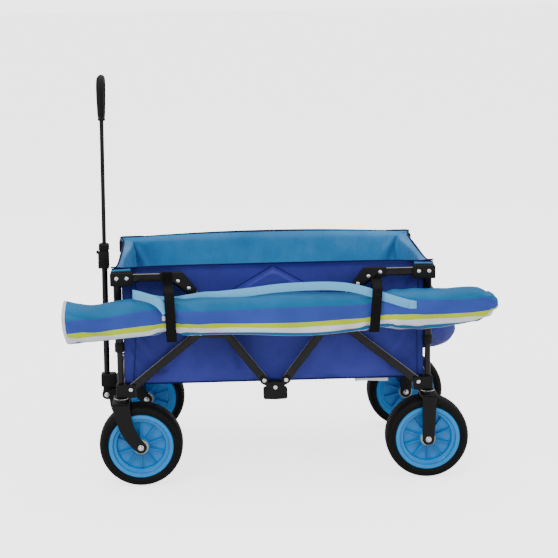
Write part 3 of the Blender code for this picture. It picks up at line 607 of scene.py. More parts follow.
def drape(obj, frames, cap, pins, pressure=0.0, gravity=0.0, shrink=0.0, stiffness=10.0, bending=0.3):
    """Runs cloth on a mesh, applies it, and keeps every point within cap of where it began."""
    rest = mesh_points(obj)
    group = obj.vertex_groups.new(name="pins")
    for index in np.flatnonzero(np.asarray(pins) > 0):
        group.add([int(index)], float(pins[index]), "REPLACE")
    cloth = obj.modifiers.new("cloth", "CLOTH")
    settings = cloth.settings
    settings.quality = 6
    settings.tension_stiffness = settings.compression_stiffness = stiffness
    settings.shear_stiffness = stiffness * 0.4
    settings.bending_stiffness = bending
    settings.shrink_min = shrink
    settings.effector_weights.gravity = gravity
    settings.vertex_group_mass = "pins"
    settings.use_pressure = pressure > 0
    settings.uniform_pressure_force = pressure
    cloth.point_cache.frame_end = frames
    for number in range(1, frames + 1):
        bpy.context.scene.frame_set(number)
    bake(obj)
    bpy.context.scene.frame_set(1)
    obj.vertex_groups.clear()
    step = mesh_points(obj) - rest
    length = np.maximum(np.linalg.norm(step, axis=1), 1e-9)
    set_points(obj, rest + step * np.minimum(cap / length, 1.0)[:, None])


# --- Steel frame ----------------------------------------------------------------------------

CROSSBAR_HALF = 0.006
LOWER_CROSSBAR_Z, UPPER_CROSSBAR_Z = mm((241, 261), (500, 520))
CAP_RISE, CAP_DROP = 0.0145, 0.0195
RAIL_END = (0.272, RAIL_PIN.z)
BEND_POINTS = mm((242, 539), (215, 520))
ELBOW_OUTER_Y = UPPER_BAR_Y[1] + 0.0022
HUB_PLATES = mm((245.5, 252.0), (262.2, 265.5))
HUB_EAR_R = 0.0115
RIVET_R, RIVET_HEIGHT = 0.0054, 0.0026


def finish_cad(name, width=0.0009):
    """A fine finish and rounded edges on a CAD part that keeps its shape."""
    obj = bpy.data.objects[name]
    for slot in obj.material_slots:
        slot.material = LOOK["plastic"]
    modify(obj, "WELD", merge_threshold=1e-5)
    modify(obj, "DECIMATE", decimate_type="DISSOLVE", angle_limit=math.radians(1.5))
    corners = {"limit_method": "ANGLE", "angle_limit": math.radians(34)}
    modify(obj, "BEVEL", width=width, segments=2, harden_normals=True, **corners)


def crossbar(foot, top):
    low, high = (POST_X - CROSSBAR_HALF, -POST_Y, foot), (POST_X + CROSSBAR_HALF, POST_Y, top)
    return rounded_box(low, high, 0.0022, "frame")


def build_end_frame(end, sx):
    """Inner posts on a flat crossbar, and outer sleeves with moulded collars on another."""
    foot = sleeve_low.z
    collar = [
        (POST_R + 0.0003, foot), (COLLAR_R - 0.001, foot), (COLLAR_R, foot + 0.001),
        (COLLAR_R, foot + 0.009), (COLLAR_R - 0.0006, foot + 0.0095), (COLLAR_R - 0.0006, foot + 0.0115),
        (COLLAR_R, foot + 0.012), (COLLAR_R, foot + 0.021), (SLEEVE_R + 0.0004, foot + 0.025),
        (POST_R + 0.0003, foot + 0.025),
    ]
    lower, upper = [crossbar(*LOWER_CROSSBAR_Z)], [crossbar(*UPPER_CROSSBAR_Z)]
    for y in (-POST_Y, POST_Y):
        lower.append(rod((POST_X, y, post_low.z), (POST_X, y, post_high.z), POST_R, "frame"))
        upper.append(rod((POST_X, y, foot + 0.004), (POST_X, y, sleeve_high.z), SLEEVE_R, "frame"))
        upper.append(turned(collar, (POST_X, y, 0), "plastic", axis="Z", segments=40))
    fit(end + "_lower_frame_tubes", lower, end + "_base", "frame_black", end + "_lower_frame", flip=(sx, 1))
    fit(end + "_upper_frame_tubes", upper, end + "_top", "frame_black", end + "_upper_frame", flip=(sx, 1))


def corner_cap():
    """A block over the sleeve, and two cheeks round the end of the rail."""
    low, high = node_box("rear_right_cap")
    outer = high.y - 0.0015
    top, foot = RAIL_PIN.z + CAP_RISE, RAIL_PIN.z - CAP_DROP
    block_x, near = RAIL_PIN.x + 0.0145, low.x - 0.002
    cheek = [(high.x, top, 0.004), (near, top, 0.003), (near, foot, 0.007), (high.x, foot, 0.003)]
    in_block = block_x + 0.006
    inner = [(in_block, top, 0.003), (near, top, 0.003), (near, foot, 0.006), (in_block, foot, 0)]
    return [
        rounded_box((block_x, low.y, foot), (high.x - 0.0003, outer - 0.0004, top), 0.0035, "plastic"),
        plate(rounded_outline(cheek), (UPPER_BAR_Y[1] + 0.001, outer), "plastic", 0.0012),
        plate(rounded_outline(inner), (UPPER_BAR_Y[0] - 0.005, UPPER_BAR_Y[0] - 0.001), "plastic", 0.001),
    ]


def upper_bar():
    """Rail and diagonal in one bent flat tube, with the gusset that carries the crossing."""
    path = (RAIL_PIN.xz, RAIL_END, *BEND_POINTS, BOTTOM_PIN.xz)
    along = (Vector(BEND_POINTS[1]) - BOTTOM_PIN.xz).normalized()
    circles = [(BOTTOM_PIN.xz + along * reach, 0.004) for reach in (0.145, 0.255)]
    gusset = hull_outline(circles + [(CROSSING.xz, 0.013)])
    return [
        plate(strip_outline(path, BAR_HALF), UPPER_BAR_Y, "frame", 0.0028, 4),
        plate(gusset, (UPPER_BAR_Y[0], UPPER_BAR_Y[0] + 0.004), "frame", 0.0008, 2),
    ]


def lower_bar():
    """A straight bar, with the crossing rivet through it."""
    ends = (LOWER_BAR_Y[0] + 0.002, UPPER_BAR_Y[0] + 0.0046)
    foot, head = (Vector((CROSSING.x, y, CROSSING.z)) for y in ends)
    return [
        plate(strip_outline((BRACKET_PIN.xz, TOP_PIN.xz), BAR_HALF), LOWER_BAR_Y, "frame", 0.0028, 4),
        rod(foot, head, 0.0038, "steel"),
        dome(head, 0.008, 0.003),
    ]


def elbow():
    """Plastic sleeve over the bend: sharp outside, filled inside, closed round the bar."""
    slope = (Vector(BEND_POINTS[1]) - BOTTOM_PIN.xz).normalized()
    side = Vector((-slope.y, slope.x)) * (BAR_HALF + 0.0022)
    last = Vector(BEND_POINTS[1]) - slope * 0.018
    outer, inner = last + side, last - side
    top = RAIL_END[1] + BAR_HALF + 0.0018
    corner_x = outer.x + (top - outer.y) * slope.x / slope.y
    outline = [
        (0.288, top, 0.002), (corner_x, top, 0.005), (*outer, 0.002), (*inner, 0.002),
        (0.2435, 0.5285, 0.010), (0.288, RAIL_END[1] - BAR_HALF - 0.0012, 0.002),
    ]
    span = (UPPER_BAR_Y[0] - 0.0022, ELBOW_OUTER_Y)
    return [plate(rounded_outline(outline), span, "plastic", 0.0018, 3, 25.0)]


def top_hub():
    """Twin plates over the lower bars' top ends, hidden under the tub's cover."""
    outline = hull_outline([((x, TOP_PIN.z), 0.0105) for x in (TOP_PIN.x, -TOP_PIN.x)])
    parts = [plate(outline, span, "plastic", 0.0010, 2) for span in mm((233.5, 238.5), (249.0, 251.5))]
    for x in (TOP_PIN.x, -TOP_PIN.x):
        parts.append(rod((x, 0.2330, TOP_PIN.z), (x, 0.2520, TOP_PIN.z), 0.0045, "steel"))
    return parts


def bottom_hub():
    """Clevis plates with round ears over the bars' lower ends, on a waisted foot."""
    waist = mm((22.6, 254.5), (29.0, 252.0), (31.0, 249.5), (31.0, 227.5), (28.5, 223.5))
    ears = mm((0, 270.5)) + arc(BOTTOM_PIN.xz, HUB_EAR_R, 215, -45, 20) + mm((22.2, 258.0)) + waist
    foot = mm((0, 257.5), (22.2, 257.5)) + waist
    ears, foot = (half + mm((0, 222.0)) + [(-x, z) for x, z in half[:0:-1]] for half in (ears, foot))
    whole = (HUB_PLATES[0][0] + 0.0006, HUB_PLATES[1][1] - 0.0006)
    shapes = [(foot, whole)] + [(ears, span) for span in HUB_PLATES]
    return [plate(outline, span, "plastic", 0.0010, 2, 25.0) for outline, span in shapes]


def rivets(name, body, places, y, radius=RIVET_R, left_out=None, sx=1):
    """Domed rivet heads at XZ places on both sides of the cart, as one piece."""
    spots = [(place, sy) for place in places for _, sy in SIDES if (place, sy) != left_out]
    heads = [dome((x, sy * y, z), radius, RIVET_HEIGHT, sy) for (x, z), sy in spots]
    fit(name, heads, body, "steel", flip=(sx, 1))


def build_rivets():
    cap_y, bracket_y, hub_y = (
        node_box(name)[1].y - 0.0015 for name in ("rear_right_cap", "rear_right_bracket", "right_bottom_hub")
    )
    for end, sx in ENDS:
        rivets(end + "_cap_rivets", end + "_top", (RAIL_PIN.xz, (POST_X, RAIL_PIN.z)), cap_y, sx=sx)
        rivets(end + "_bracket_pins", end + "_base", (BRACKET_PIN.xz,), bracket_y, sx=sx)
        bends = (RAIL_END, *BEND_POINTS)
        under_loop = (RAIL_END, -1) if end == "front" else None
        rivets(end + "_elbow_rivets", end + "_upper_bars", bends, ELBOW_OUTER_Y, 0.0051, under_loop, sx)
    hub = (BOTTOM_PIN.xz, (-BOTTOM_PIN.x, BOTTOM_PIN.z), (0, BOTTOM_PIN.z - 0.019))
    rivets("bottom_hub_rivets", "bottom_hubs", hub, hub_y)
    rivets("handle_pin_heads", "front_base", (HANDLE_PIN.xz,), 0.0198, 0.0068)


def build_frame():
    for end, sx in ENDS:
        build_end_frame(end, sx)
    for end, corner, flip in CORNERS:
        bars = end + "_upper_bars"
        fit(corner + "corner_cap", corner_cap(), end + "_top", "plastic_black", corner + "cap", flip=flip)
        fit(corner + "upper_bar_tube", upper_bar(), bars, "frame_black", corner + "upper_bar", flip=flip)
        fit(corner + "elbow_sleeve", elbow(), bars, "plastic_black", corner + "elbow", flip=flip)
        bars = end + "_lower_bars"
        fit(corner + "lower_bar_tube", lower_bar(), bars, "frame_black", corner + "lower_bar", flip=flip)
        finish_cad(corner + "bracket")
    for side, sy in SIDES:
        top, bottom = side + "_top_hub", side + "_bottom_hub"
        fit(top + "_plates", top_hub(), "top_hubs", "plastic_black", top, flip=(1, sy))
        fit(bottom + "_block", bottom_hub(), "bottom_hubs", "plastic_black", bottom, flip=(1, sy))
    build_rivets()
    finish_cad("handle_mount")
    finish_cad("handle_button", 0.0005)


# --- Wheels and forks -----------------------------------------------------------------------

LEG_Y = (0.040, 0.046)  # a leg's inner and outer faces, from the wheel's middle
CROWN_Z = (0.2185, 0.2265)
RIB_COUNT = 10


def both_halves(half):
    """A closed profile from its +Y half, listed from the bore outwards."""
    return half + [(radius, -offset) for radius, offset in half[::-1]]


def wheel_disc(hub):
    """Moulded centre: hub, dished web, stepped rim lip, thin ribs on both faces."""
    half = mm(
        (5.6, 34), (6.6, 35), (12, 35), (12.8, 33.5), (20, 33.5), (20.8, 35), (22, 33.8), (23.2, 14),
        (25, 12.5), (57.5, 10.5), (61, 11.5), (62.8, 14), (63.6, 21.5), (64.6, 22.5), (70.6, 22.5),
        (71.8, 23.5), (72.8, 30), (74, 31.5), (76, 32), (82.5, 32), (84, 30.5),
    )
    bushing = mm((5.8, 34.5), (19, 34.5), (19, 35.6), (18.3, 36.4), (5.8, 36.4))
    parts = [turned(both_halves(half), hub, "blue", segments=96)]
    for side in (-1, 1):
        parts.append(turned([(r, side * offset) for r, offset in bushing], hub, "bushing", segments=48))
        parts += [wheel_rib(hub, 2 * math.pi * (i + 0.5) / RIB_COUNT, side) for i in range(RIB_COUNT)]
    return parts


def wheel_rib(hub, angle, side):
    """A thin radial rib, tall at the hub and low at the rim."""
    outline = mm((20.5, 10), (20.5, 30), (30, 26.5), (63.8, 19.5), (63.8, 9))
    rib = plate(outline, (-0.0009, 0.0009), "blue", 0.0004, 1)
    upright = Matrix(((1, 0, 0, 0), (0, 0, side, 0), (0, 1, 0, 0), (0, 0, 0, 1)))
    rib.data.transform(Matrix.Translation(hub) @ Matrix.Rotation(-angle, 4, "Y") @ upright)
    if side > 0:
        rib.data.flip_normals()
    return rib


def tyre(hub):
    """Foam tyre with a bead line on the sidewall and three shallow grooves round the tread."""
    wall, tread = TYRE_HALF * 1000, WHEEL_R * 1000
    half = mm(
        (84.3, 30.5), (85.3, 32.5), (88.2, 35), (90, wall), (91.4, wall), (92, wall - 0.7),
        (93.2, wall - 0.7), (93.8, wall), (96.2, wall - 0.1), (99.8, 34.5), (103, 31.5), (105.2, 27),
        (106.8, 22), (107.5, 17), (106.2, 16.3), (106.2, 14.7), (107.8, 14), (tread, 6), (tread, 1.8),
        (106.6, 1),
    )
    return [turned(both_halves(half), hub, "tyre", segments=96)]


def rear_leg(hub):
    top = CROWN_Z[1] - 0.0005
    return [(POST_X + 0.019, top), (POST_X - 0.019, top)] + arc(hub.xz, 0.0155, 180, 360, 20)


def front_leg(hub):
    """A leg that sweeps back from the crown to the trailing hub."""
    start, middle = Vector((POST_X - 0.001, CROWN_Z[1] - 0.0005)), Vector((POST_X - 0.004, 0.150))
    end, steps = hub.xz, 18
    outer, inner = [], []
    for t in (i / steps for i in range(steps + 1)):
        along = ((middle - start) * (1 - t) + (end - middle) * t).normalized()
        normal = Vector((-along.y, along.x)) if t else Vector((1, 0))
        reach = normal * (0.0225 + (0.015 - 0.0225) * t)
        outer.append(bezier(start, middle, end, t) + reach)
        inner.append(bezier(start, middle, end, t) - reach)
    first = outer[-1] - end
    angle = math.degrees(math.atan2(first.y, first.x))
    return outer + arc(end, 0.015, angle, angle - 180, 18)[1:-1] + inner[::-1]


def fork(leg):
    """Crown, two legs with rolled edges, and a bearing cup with a bright ring round the stem."""
    reach = Vector((0.022, LEG_Y[1], 0))
    low, high = (Vector((POST_X, POST_Y, z)) for z in CROWN_Z)
    parts = [rounded_box(low - reach, high + reach, 0.003, "plastic")]
    for side in (-1, 1):
        span = sorted(POST_Y + side * offset for offset in LEG_Y)
        parts.append(plate(leg, span, "plastic", 0.0018, 3, 30.0))
    cup = mm((2, 224.5), (18.5, 224.5), (18.5, 227.7), (16.5, 228.5), (16.5, 231.3), (15.5, 232.5))
    cup += mm((2, 232.5))
    ring = mm((15, 228.7), (17.8, 228.7), (17.8, 230.3), (15, 230.3))
    for profile, look in ((cup, "plastic"), (ring, "steel")):
        parts.append(turned(profile, (POST_X, POST_Y, 0), look, axis="Z", segments=48))
    return parts + [rod(high, (POST_X, POST_Y, 0.2610), 0.0050, "steel")]


def axle(hub):
    """Axle bolt with a washer and a domed nut at each end."""
    reach = Vector((0, 0.0465, 0))
    washer = mm((1, 0), (7.4, 0), (7.4, 1), (6.8, 1.4), (1, 1.4))
    parts = [rod(hub - reach, hub + reach, 0.005, "steel")]
    for side in (-1, 1):
        profile = [(r, side * offset) for r, offset in washer]
        place, nut = (hub + Vector((0, side * (LEG_Y[1] + out), 0)) for out in (0.0002, 0.0016))
        parts += [turned(profile, place, "steel", segments=36), dome(nut, 0.0060, 0.0070, side)]
    return parts


def build_wheels():
    for end, corner, flip in CORNERS:
        rear = end == "rear"
        hub = Vector((REAR_HUB_X if rear else FRONT_HUB_X, POST_Y, WHEEL_R))
        leg, carrier = (rear_leg(hub), "rear_base") if rear else (front_leg(hub), corner + "caster")
        wheel = corner + "wheel"
        fit(corner + "fork_casting", fork(leg), carrier, "plastic_black", corner + "fork", flip=flip)
        fit(corner + "axle_bolt", axle(hub), carrier, "steel", corner + "axle", flip=flip)
        fit(wheel + "_centre", wheel_disc(hub), wheel, "wheel_blue", wheel + "_disc", flip=flip)
        fit(corner + "tyre_ring", tyre(hub), wheel, "tyre_rubber", corner + "tyre", flip=flip)


# --- Handle ---------------------------------------------------------------------------------

HANDLE_AXIS = Vector(JOINTS["handle_telescope"]["axis"])
HANDLE_LEAN = math.atan2(HANDLE_AXIS.x, HANDLE_AXIS.z)
LOWER_TUBE_Z, UPPER_TUBE_Z, GRIP_Z = mm((208, 585), (562, 944), (938, 1034))
LOWER_TUBE_R, UPPER_TUBE_R, GRIP_R = 0.008, 0.0055, 0.010


def fit_leaning(name, parts, body, slot, node):
    """Leans an upright handle part about the handle's pin, and fits it."""
    obj = join(parts)
    pivot = Matrix.Translation(HANDLE_PIN)
    obj.data.transform(pivot @ Matrix.Rotation(HANDLE_LEAN, 4, "Y") @ pivot.inverted())
    fit(name, [obj], "handle_" + body, slot, node)


def handle_tube(span, radius):
    foot, top = ((HANDLE_PIN.x, 0, z) for z in span)
    return [rod(foot, top, radius, "frame")]


def block(back, front, half, foot, top, radius, segments=3):
    """A plastic box round the handle's tube, in millimetres, its X measured from the tube."""
    shift = HANDLE_PIN.x * 1000
    low, high = mm((shift + back, -half, foot), (shift + front, half, top))
    return rounded_box(low, high, radius / 1000, "plastic", segments)


def handle_foot():
    """Ribbed block over the tube's foot, with a tongue down to the pin."""
    x = HANDLE_PIN.x
    tongue = arc(HANDLE_PIN.xz, 0.0105, 180, 360, 16) + [(x + 0.0115, 0.2040), (x - 0.0105, 0.2040)]
    parts = [block(-15.6, 25.1, 15.6, z, z + 2.4, 0.7, 1) for z in np.arange(207.5, 235, 5)]
    parts.append(block(-15.0, 24.5, 15.0, 202.0, 238.5, 3.5))
    return parts + [plate(tongue, (-0.0098, 0.0098), "plastic", 0.0010, 2, 30.0)]


def handle_lock():
    """Ribbed clamp block under a wider ribbed cap, on a neck between them."""
    parts = [block(-16.5, 12.5, 12.5, 528, 574, 3), block(-14, 12.5, 12.5, 575.5, 596, 4)]
    parts += [block(-14.7, 13.2, 13.2, z, z + 1.8, 0.5, 1) for z in (579, 583, 587, 591)]
    parts += [block(-17.2, 13, 13, z, z + 2, 0.6, 1) for z in (536, 544)]
    return parts + [block(-12, 10.5, 10.5, 570, 580, 1)]


def handle_grip():
    """Closed loop grip on a short neck, thicker where the hand holds it."""
    x, bend = HANDLE_PIN.x, 0.026
    top, foot = GRIP_Z[1] - bend, GRIP_Z[0] + 0.014
    outline = arc((0.020, top), bend, 0, 90, 10) + arc((-0.020, top), bend, 90, 180, 10)
    outline += arc((-0.012, foot), 0.014, 205, 270, 6) + arc((0.012, foot), 0.014, 270, 335, 6)
    path = []
    for (y0, z0), (y1, z1) in zip(outline, outline[1:] + outline[:1]):
        steps = max(1, round(math.hypot(y1 - y0, z1 - z0) / 0.004))
        path += [(x, y0 + (y1 - y0) * i / steps, z0 + (z1 - z0) * i / steps) for i in range(steps)]
    radii = [GRIP_R * (0.92 + 0.08 * ease((z - GRIP_Z[0]) / 0.05)) for _, _, z in path]
    neck = mm((5.7, 924), (9, 924), (10, 926), (10, 930), (8.8, 931.5), (10, 933), (10, 946), (5.7, 948))
    return [tube(path, radii, "grip", closed=True), turned(neck, (x, 0, 0), "grip", axis="Z", segments=40)]


def build_handle():
    lower, upper = handle_tube(LOWER_TUBE_Z, LOWER_TUBE_R), handle_tube(UPPER_TUBE_Z, UPPER_TUBE_R)
    fit_leaning("handle_lower_tube_round", lower, "base", "frame_black", "handle_lower_tube")
    fit_leaning("handle_upper_tube_round", upper, "top", "frame_black", "handle_upper_tube")
    fit_leaning("handle_lock_block", handle_lock(), "base", "plastic_black", "handle_lock")
    fit_leaning("handle_grip_loop", handle_grip(), "top", "plastic_black", "handle_grip")
    fit_leaning("handle_foot_block", handle_foot(), "base", "plastic_black", "handle_foot")


# --- Fabric tub -----------------------------------------------------------------------------

CLOTH = 0.0016
TUB_X, TUB_Y = (tub_high.x - tub_low.x) / 2, (tub_high.y - tub_low.y) / 2
WALL_X, WALL_Y = TUB_X - 0.0265, TUB_Y - 0.0195
TIP_X, TIP_Y, TIP_Z = TUB_X - 0.002, TUB_Y - 0.001, tub_high.z - 0.0115
WALL_BOTTOM, WALL_TOP = tub_low.z - 0.006, 0.558
RIM_MID_X, RIM_MID_Y = 0.397, 0.2375
RIM_RISE = ((0.0075, 9), (0.0030, 2.2), (0.0140, 2.2), (0.0030, 2.2))  # each side's bow, and its power
NEAR_EAR, FAR_EAR, EAR_LENGTH = 0.0080, 0.0015, 0.022
MAT_CLEAR_Z = 0.2950  # below this the walls stay clear of the mat
WALL_ROWS, RIM_ROWS = 34, 8
LAST_ROW = WALL_ROWS + RIM_ROWS - 1
SIDE_STEPS = (104, 60, 104, 60)
FLAP_REACH, TAPE_REACH = 0.048, 0.066


def wall_point(side, t, row):
    """A point of the wall. Sides run counter-clockwise from the left wall; t goes from -1 to 1."""
    lengthwise = side in (0, 2)
    share = abs(t) ** 6
    out = 0.0
    z = WALL_BOTTOM + (WALL_TOP - WALL_BOTTOM) * min(1.0, row / (WALL_ROWS - 1))
    if row >= WALL_ROWS:
        flare = (row - WALL_ROWS + 1) / RIM_ROWS
        out = flare**1.4
        swell, power = RIM_RISE[side]
        away = (1 - abs(t)) * (TIP_X if lengthwise else TIP_Y) / EAR_LENGTH
        far = side == 2 or (side == 1 and t > 0) or (side == 3 and t < 0)
        ear = (FAR_EAR if far else NEAR_EAR) * math.exp(-(away**2))
        top = TIP_Z + swell * (1 - abs(t) ** power) + ear
        z = WALL_TOP + (top - WALL_TOP) * flare**0.8
    corner_x, middle_x = (WALL_X + (reach - WALL_X) * out for reach in (TIP_X, RIM_MID_X))
    corner_y, middle_y = (WALL_Y + (reach - WALL_Y) * out for reach in (TIP_Y, RIM_MID_Y))
    if lengthwise:
        x, y = t * corner_x, middle_y + (corner_y - middle_y) * share
        return (x, -y, z) if side == 0 else (-x, y, z)
    x, y = middle_x + (corner_x - middle_x) * share, t * corner_y
    return (x, y, z) if side == 1 else (-x, -y, z)


def wall_ring(row, steps=SIDE_STEPS):
    ring = []
    for side, count in enumerate(steps):
        ring += [wall_point(side, -1 + 2 * i / count, row) for i in range(count)]
    return ring


def tub_walls():
    """The four walls in one sheet, slack enough to crease, royal outside and sky blue inside."""
    rings = np.array([wall_ring(row) for row in range(LAST_ROW + 1)])
    rows, columns = rings.shape[:2]
    verts = rings.reshape(-1, 3).copy()
    level = np.repeat(np.arange(rows), columns) / (WALL_ROWS - 1)
    corner = np.abs(np.abs(verts[:, 0]) - WALL_X) + np.abs(np.abs(verts[:, 1]) - WALL_Y)
    verts[:, :2] *= 1 - (slack(verts, level) * ease(corner / 0.03))[:, None]
    verts = verts + corner_folds(verts, level)
    drawn_in = ease((level - 0.5) / 0.35) * ease((1.12 - level) / 0.1) * ease((verts[:, 1] + 0.06) / 0.24)
    verts[:, 0] *= 1 - 0.030 * drawn_in
    obj = sheet(verts, grid_faces(rows, columns, closed=True), "outer", "inner")
    pins = np.where((level < 0.02) | (level >= 0.97) | (corner < 0.012), 1.0, 0.0)
    drape(obj, 22, 0.013, pins, gravity=0.6, shrink=-0.025, stiffness=9.0, bending=0.2)
    points = mesh_points(obj)
    low, foot = points[:, 2] < WALL_TOP, points[:, 2] < MAT_CLEAR_Z
    lengthwise = np.abs(verts[:, 1]) > WALL_Y * 0.98
    for axis, wall, own in ((0, WALL_X, ~lengthwise), (1, WALL_Y, lengthwise)):
        points[low, axis] = np.clip(points[low, axis], -wall - 0.0012, wall + 0.0012)
        held = points[foot & own, axis]
        points[foot & own, axis] = np.sign(held) * np.maximum(np.abs(held), wall - 0.002)
    set_points(obj, points)
    return thicken(obj, CLOTH, 1), points[-columns:], points[-2 * columns:-columns]


def corner_folds(points, level):
    """Flat folds that fan down from the four pointed corners of the rim, drawn into the tub."""
    move = np.zeros_like(points)
    high = ease((level - 0.45) / 0.3) * ease((1.02 - level) / 0.1)
    for _, _, (sx, sy) in CORNERS:
        side_run, end_run = WALL_X - sx * points[:, 0], WALL_Y - sy * points[:, 1]
        walls = ((side_run, end_run, 1, 0.010 * sy), (end_run, side_run, 0, 0.008 * sx))
        for run, other, axis, depth in walls:
            reach = np.maximum(run, 0.0)
            angle = np.arctan2(WALL_TOP + 0.010 - points[:, 2], reach + 0.004)
            ridge = 1 - np.abs((angle / math.pi * 9.0 + 0.3 * sx + 0.2 * sy) % 2 - 1)
            fade = ease(reach / 0.018) * hill(reach, 0, 0.085) * high
            move[:, axis] -= depth * ridge * fade * (np.abs(other) < 0.012)
    return move


def slack(points, level):
    """Inward set of the walls, as a share of their distance from the middle."""
    x, y = points[:, 0], points[:, 1]
    window = np.clip(level, 0, 1) * np.clip(1 - level, 0, 1) * 4
    waves = np.sin(x * 31 + 0.6) * np.sin(level * 7.5 + x * 9) + 0.6 * np.sin(y * 43 + level * 5)
    long_wall = np.abs(y) > WALL_Y - 0.03
    pleats = hill(np.abs(x), 0.30, 0.03) * np.sin(x * 190 + 1.1 * np.sign(x)) * long_wall
    puckers = hill(np.abs(x), 0.352, 0.022) * np.sin(x * 330 + level * 14) * long_wall
    broad = window * (0.006 + 0.0040 * waves) + 0.008 * pleats * np.clip(level, 0, 1) * window**0.5
    return broad + 0.006 * puckers * window**0.5


def tub_floor():
    """The bottom sheet, held up by the mat's boards between its sewn edges."""
    verts = []
    for v in np.linspace(-1, 1, 37):
        for u in np.linspace(-1, 1, 61):
            lift = 0.0075 * (1 - u**8) * (1 - v**8)
            verts.append((u * (WALL_X - 0.003), v * (WALL_Y - 0.003), WALL_BOTTOM + CLOTH + lift))
    return thicken(sheet(verts, grid_faces(37, 61), "floor", "under"), CLOTH, 1)


def edge_tape(points, below, heights, thickness):
    """Folded tape over an edge that runs round the tub, along the cloth, with its depth at each point."""
    rise = unit_rows(points - below)
    out = unit_rows(np.cross(np.roll(points, -1, 0) - np.roll(points, 1, 0), rise))
    half = thickness / 2
    rings = []
    for point, side, up, height in zip(points - out * CLOTH / 2, out, rise, heights):
        section = [(half, -height), (half, -half * 0.6), (half * 0.6, half * 0.5), (0.0, half)]
        section += [(-u, v) for u, v in section[-2::-1]]
        rings.append([point + side * u + up * v for u, v in section])
    return loft(rings, "binding", closed=True, sharp=60.0)


def corner_seam():
    """Taped seam up the inside of a corner, out to the pointed rim."""
    x, y = WALL_X - 0.003, WALL_Y - 0.003
    line = [(x, y, z) for z in np.linspace(WALL_BOTTOM + 0.004, WALL_TOP, 24)]
    for t in (0.25, 0.5, 0.75, 1.0):
        out = t * t * 0.8
        line.append((x + (TIP_X - WALL_X) * out, y + (TIP_Y - WALL_Y) * out, WALL_TOP + 0.009 * t))
    return [tube(line, 0.0016, "thread", 8)]


def corner_flap():
    """The cloth's turned down point over the corner cap, with a dark tape end folded over the rim."""
    line = [wall_point(1, t, LAST_ROW) for t in np.linspace(1 - FLAP_REACH / TIP_Y, 1, 14)]
    line += [wall_point(2, -t, LAST_ROW) for t in np.linspace(1, 1 - FLAP_REACH / TIP_X, 14)[1:]]
    verts = []
    for depth in np.linspace(0, 1, 7):
        belly = 0.0016 * math.sin(depth * math.pi)
        for x, y, z in line:
            foot = min(z - 0.002, RAIL_PIN.z + CAP_RISE + 0.0006)
            height = z + (foot - z) * depth - 0.0006
            verts.append((x - 0.0022 + belly * x / TIP_X, y - 0.0018 + belly, height))
    edge = [wall_point(2, -t, LAST_ROW) for t in np.linspace(1, 1 - TAPE_REACH / TIP_X, 16)]
    tape = [(x - 0.001, y - 0.0022, z + 0.0006) for x, y, z in edge]
    widths = np.interp(np.linspace(0, 1, 16), (0.0, 0.15, 0.6, 1.0), (0.0060, 0.0085, 0.0080, 0.0045))
    return [
        thicken(sheet(verts, grid_faces(7, len(line)), "inner"), 0.0012),
        tube(verts[-len(line):], 0.0014, "binding", 8),
        ribbon(tape, (0, 0.35, 0.94), widths, 0.0014, "binding"),
    ]


def hub_cover():
    """A triangular fabric pocket over the top hub, sewn to the wall, with a seam on each slope."""
    top, face = 0.5665, 0.2585
    heights = np.linspace(top, 0.4700, 30)
    halves = 0.004 + (top - heights) * 1.72
    verts = []
    for i, (z, half) in enumerate(zip(heights, halves)):
        for u in np.linspace(-1, 1, 61):
            bulge = ease((1 - abs(u)) * half / 0.022) * ease((top - z) / 0.017) ** 0.7
            ripple = 0.0009 * math.sin(u * half * 60 + i * 0.3) * math.sin(z * 90) * bulge
            verts.append((u * half, WALL_Y + 0.0016 + (face - WALL_Y - 0.0016) * bulge + ripple, z))
    parts = [thicken(sheet(verts, grid_faces(30, 61), "outer"), CLOTH)]
    for slope in (-1, 1):
        line = [(slope * (half - 0.0015), WALL_Y + 0.0032, z) for z, half in zip(heights, halves)]
        parts.append(tube(line, 0.0013, "thread", 8))
    return parts


def wall_seams():
    """Puckered upright seams near both ends of a long wall."""
    parts = []
    for x, lean_in, bow in mm((-364, 14, 3), (371, 2, -2)):
        line = []
        for s in np.linspace(0, 1, 44):
            place = x + lean_in * s + bow * math.sin(math.pi * s) + 0.0010 * math.sin(s * 61)
            line.append((place, WALL_Y + 0.0016, WALL_BOTTOM + 0.004 + s * 0.284))
        parts.append(tube(line, 0.0009, "thread", 8))
    return parts


def lining_strip():
    """A blank off-white strip of lining that shows under the left wall."""
    places = np.linspace(0.208, 0.295, 24)
    line = [(x, -WALL_Y + 0.003, WALL_BOTTOM - 0.0045 + 0.0012 * math.sin(x * 60)) for x in places]
    return [ribbon(line, (0, 0, 1), 0.011, 0.0012, "lining")]


def build_tub():
    walls, rim, below = tub_walls()
    hang("tub_walls", [walls], "fabric_tub")
    hang("tub_floor", [tub_floor()])
    near = (rim[:, 1] < -RIM_MID_Y * 0.97) & (np.abs(rim[:, 0]) < RIM_MID_X * 0.93)
    hang("rim_binding", [edge_tape(rim, below, np.where(near, 0.0010, 0.0040), CLOTH + 0.0018)])
    bottom = [(x * 1.002, y * 1.002, z) for x, y, z in wall_ring(0, (40, 40, 40, 40))]
    hang("bottom_piping", [tube(bottom, 0.0017, "binding", 10, closed=True)])
    for _, corner, flip in CORNERS:
        hang(corner + "corner_seam", corner_seam(), flip=flip)
        hang(corner + "corner_flap", corner_flap(), flip=flip)
    for side, sy in SIDES:
        hang(side + "_hub_cover", hub_cover(), flip=(1, sy))
        hang(side + "_wall_seams", wall_seams(), flip=(1, sy))
    hang("lining_strip", lining_strip())


# --- Mat and rear pocket --------------------------------------------------------------------


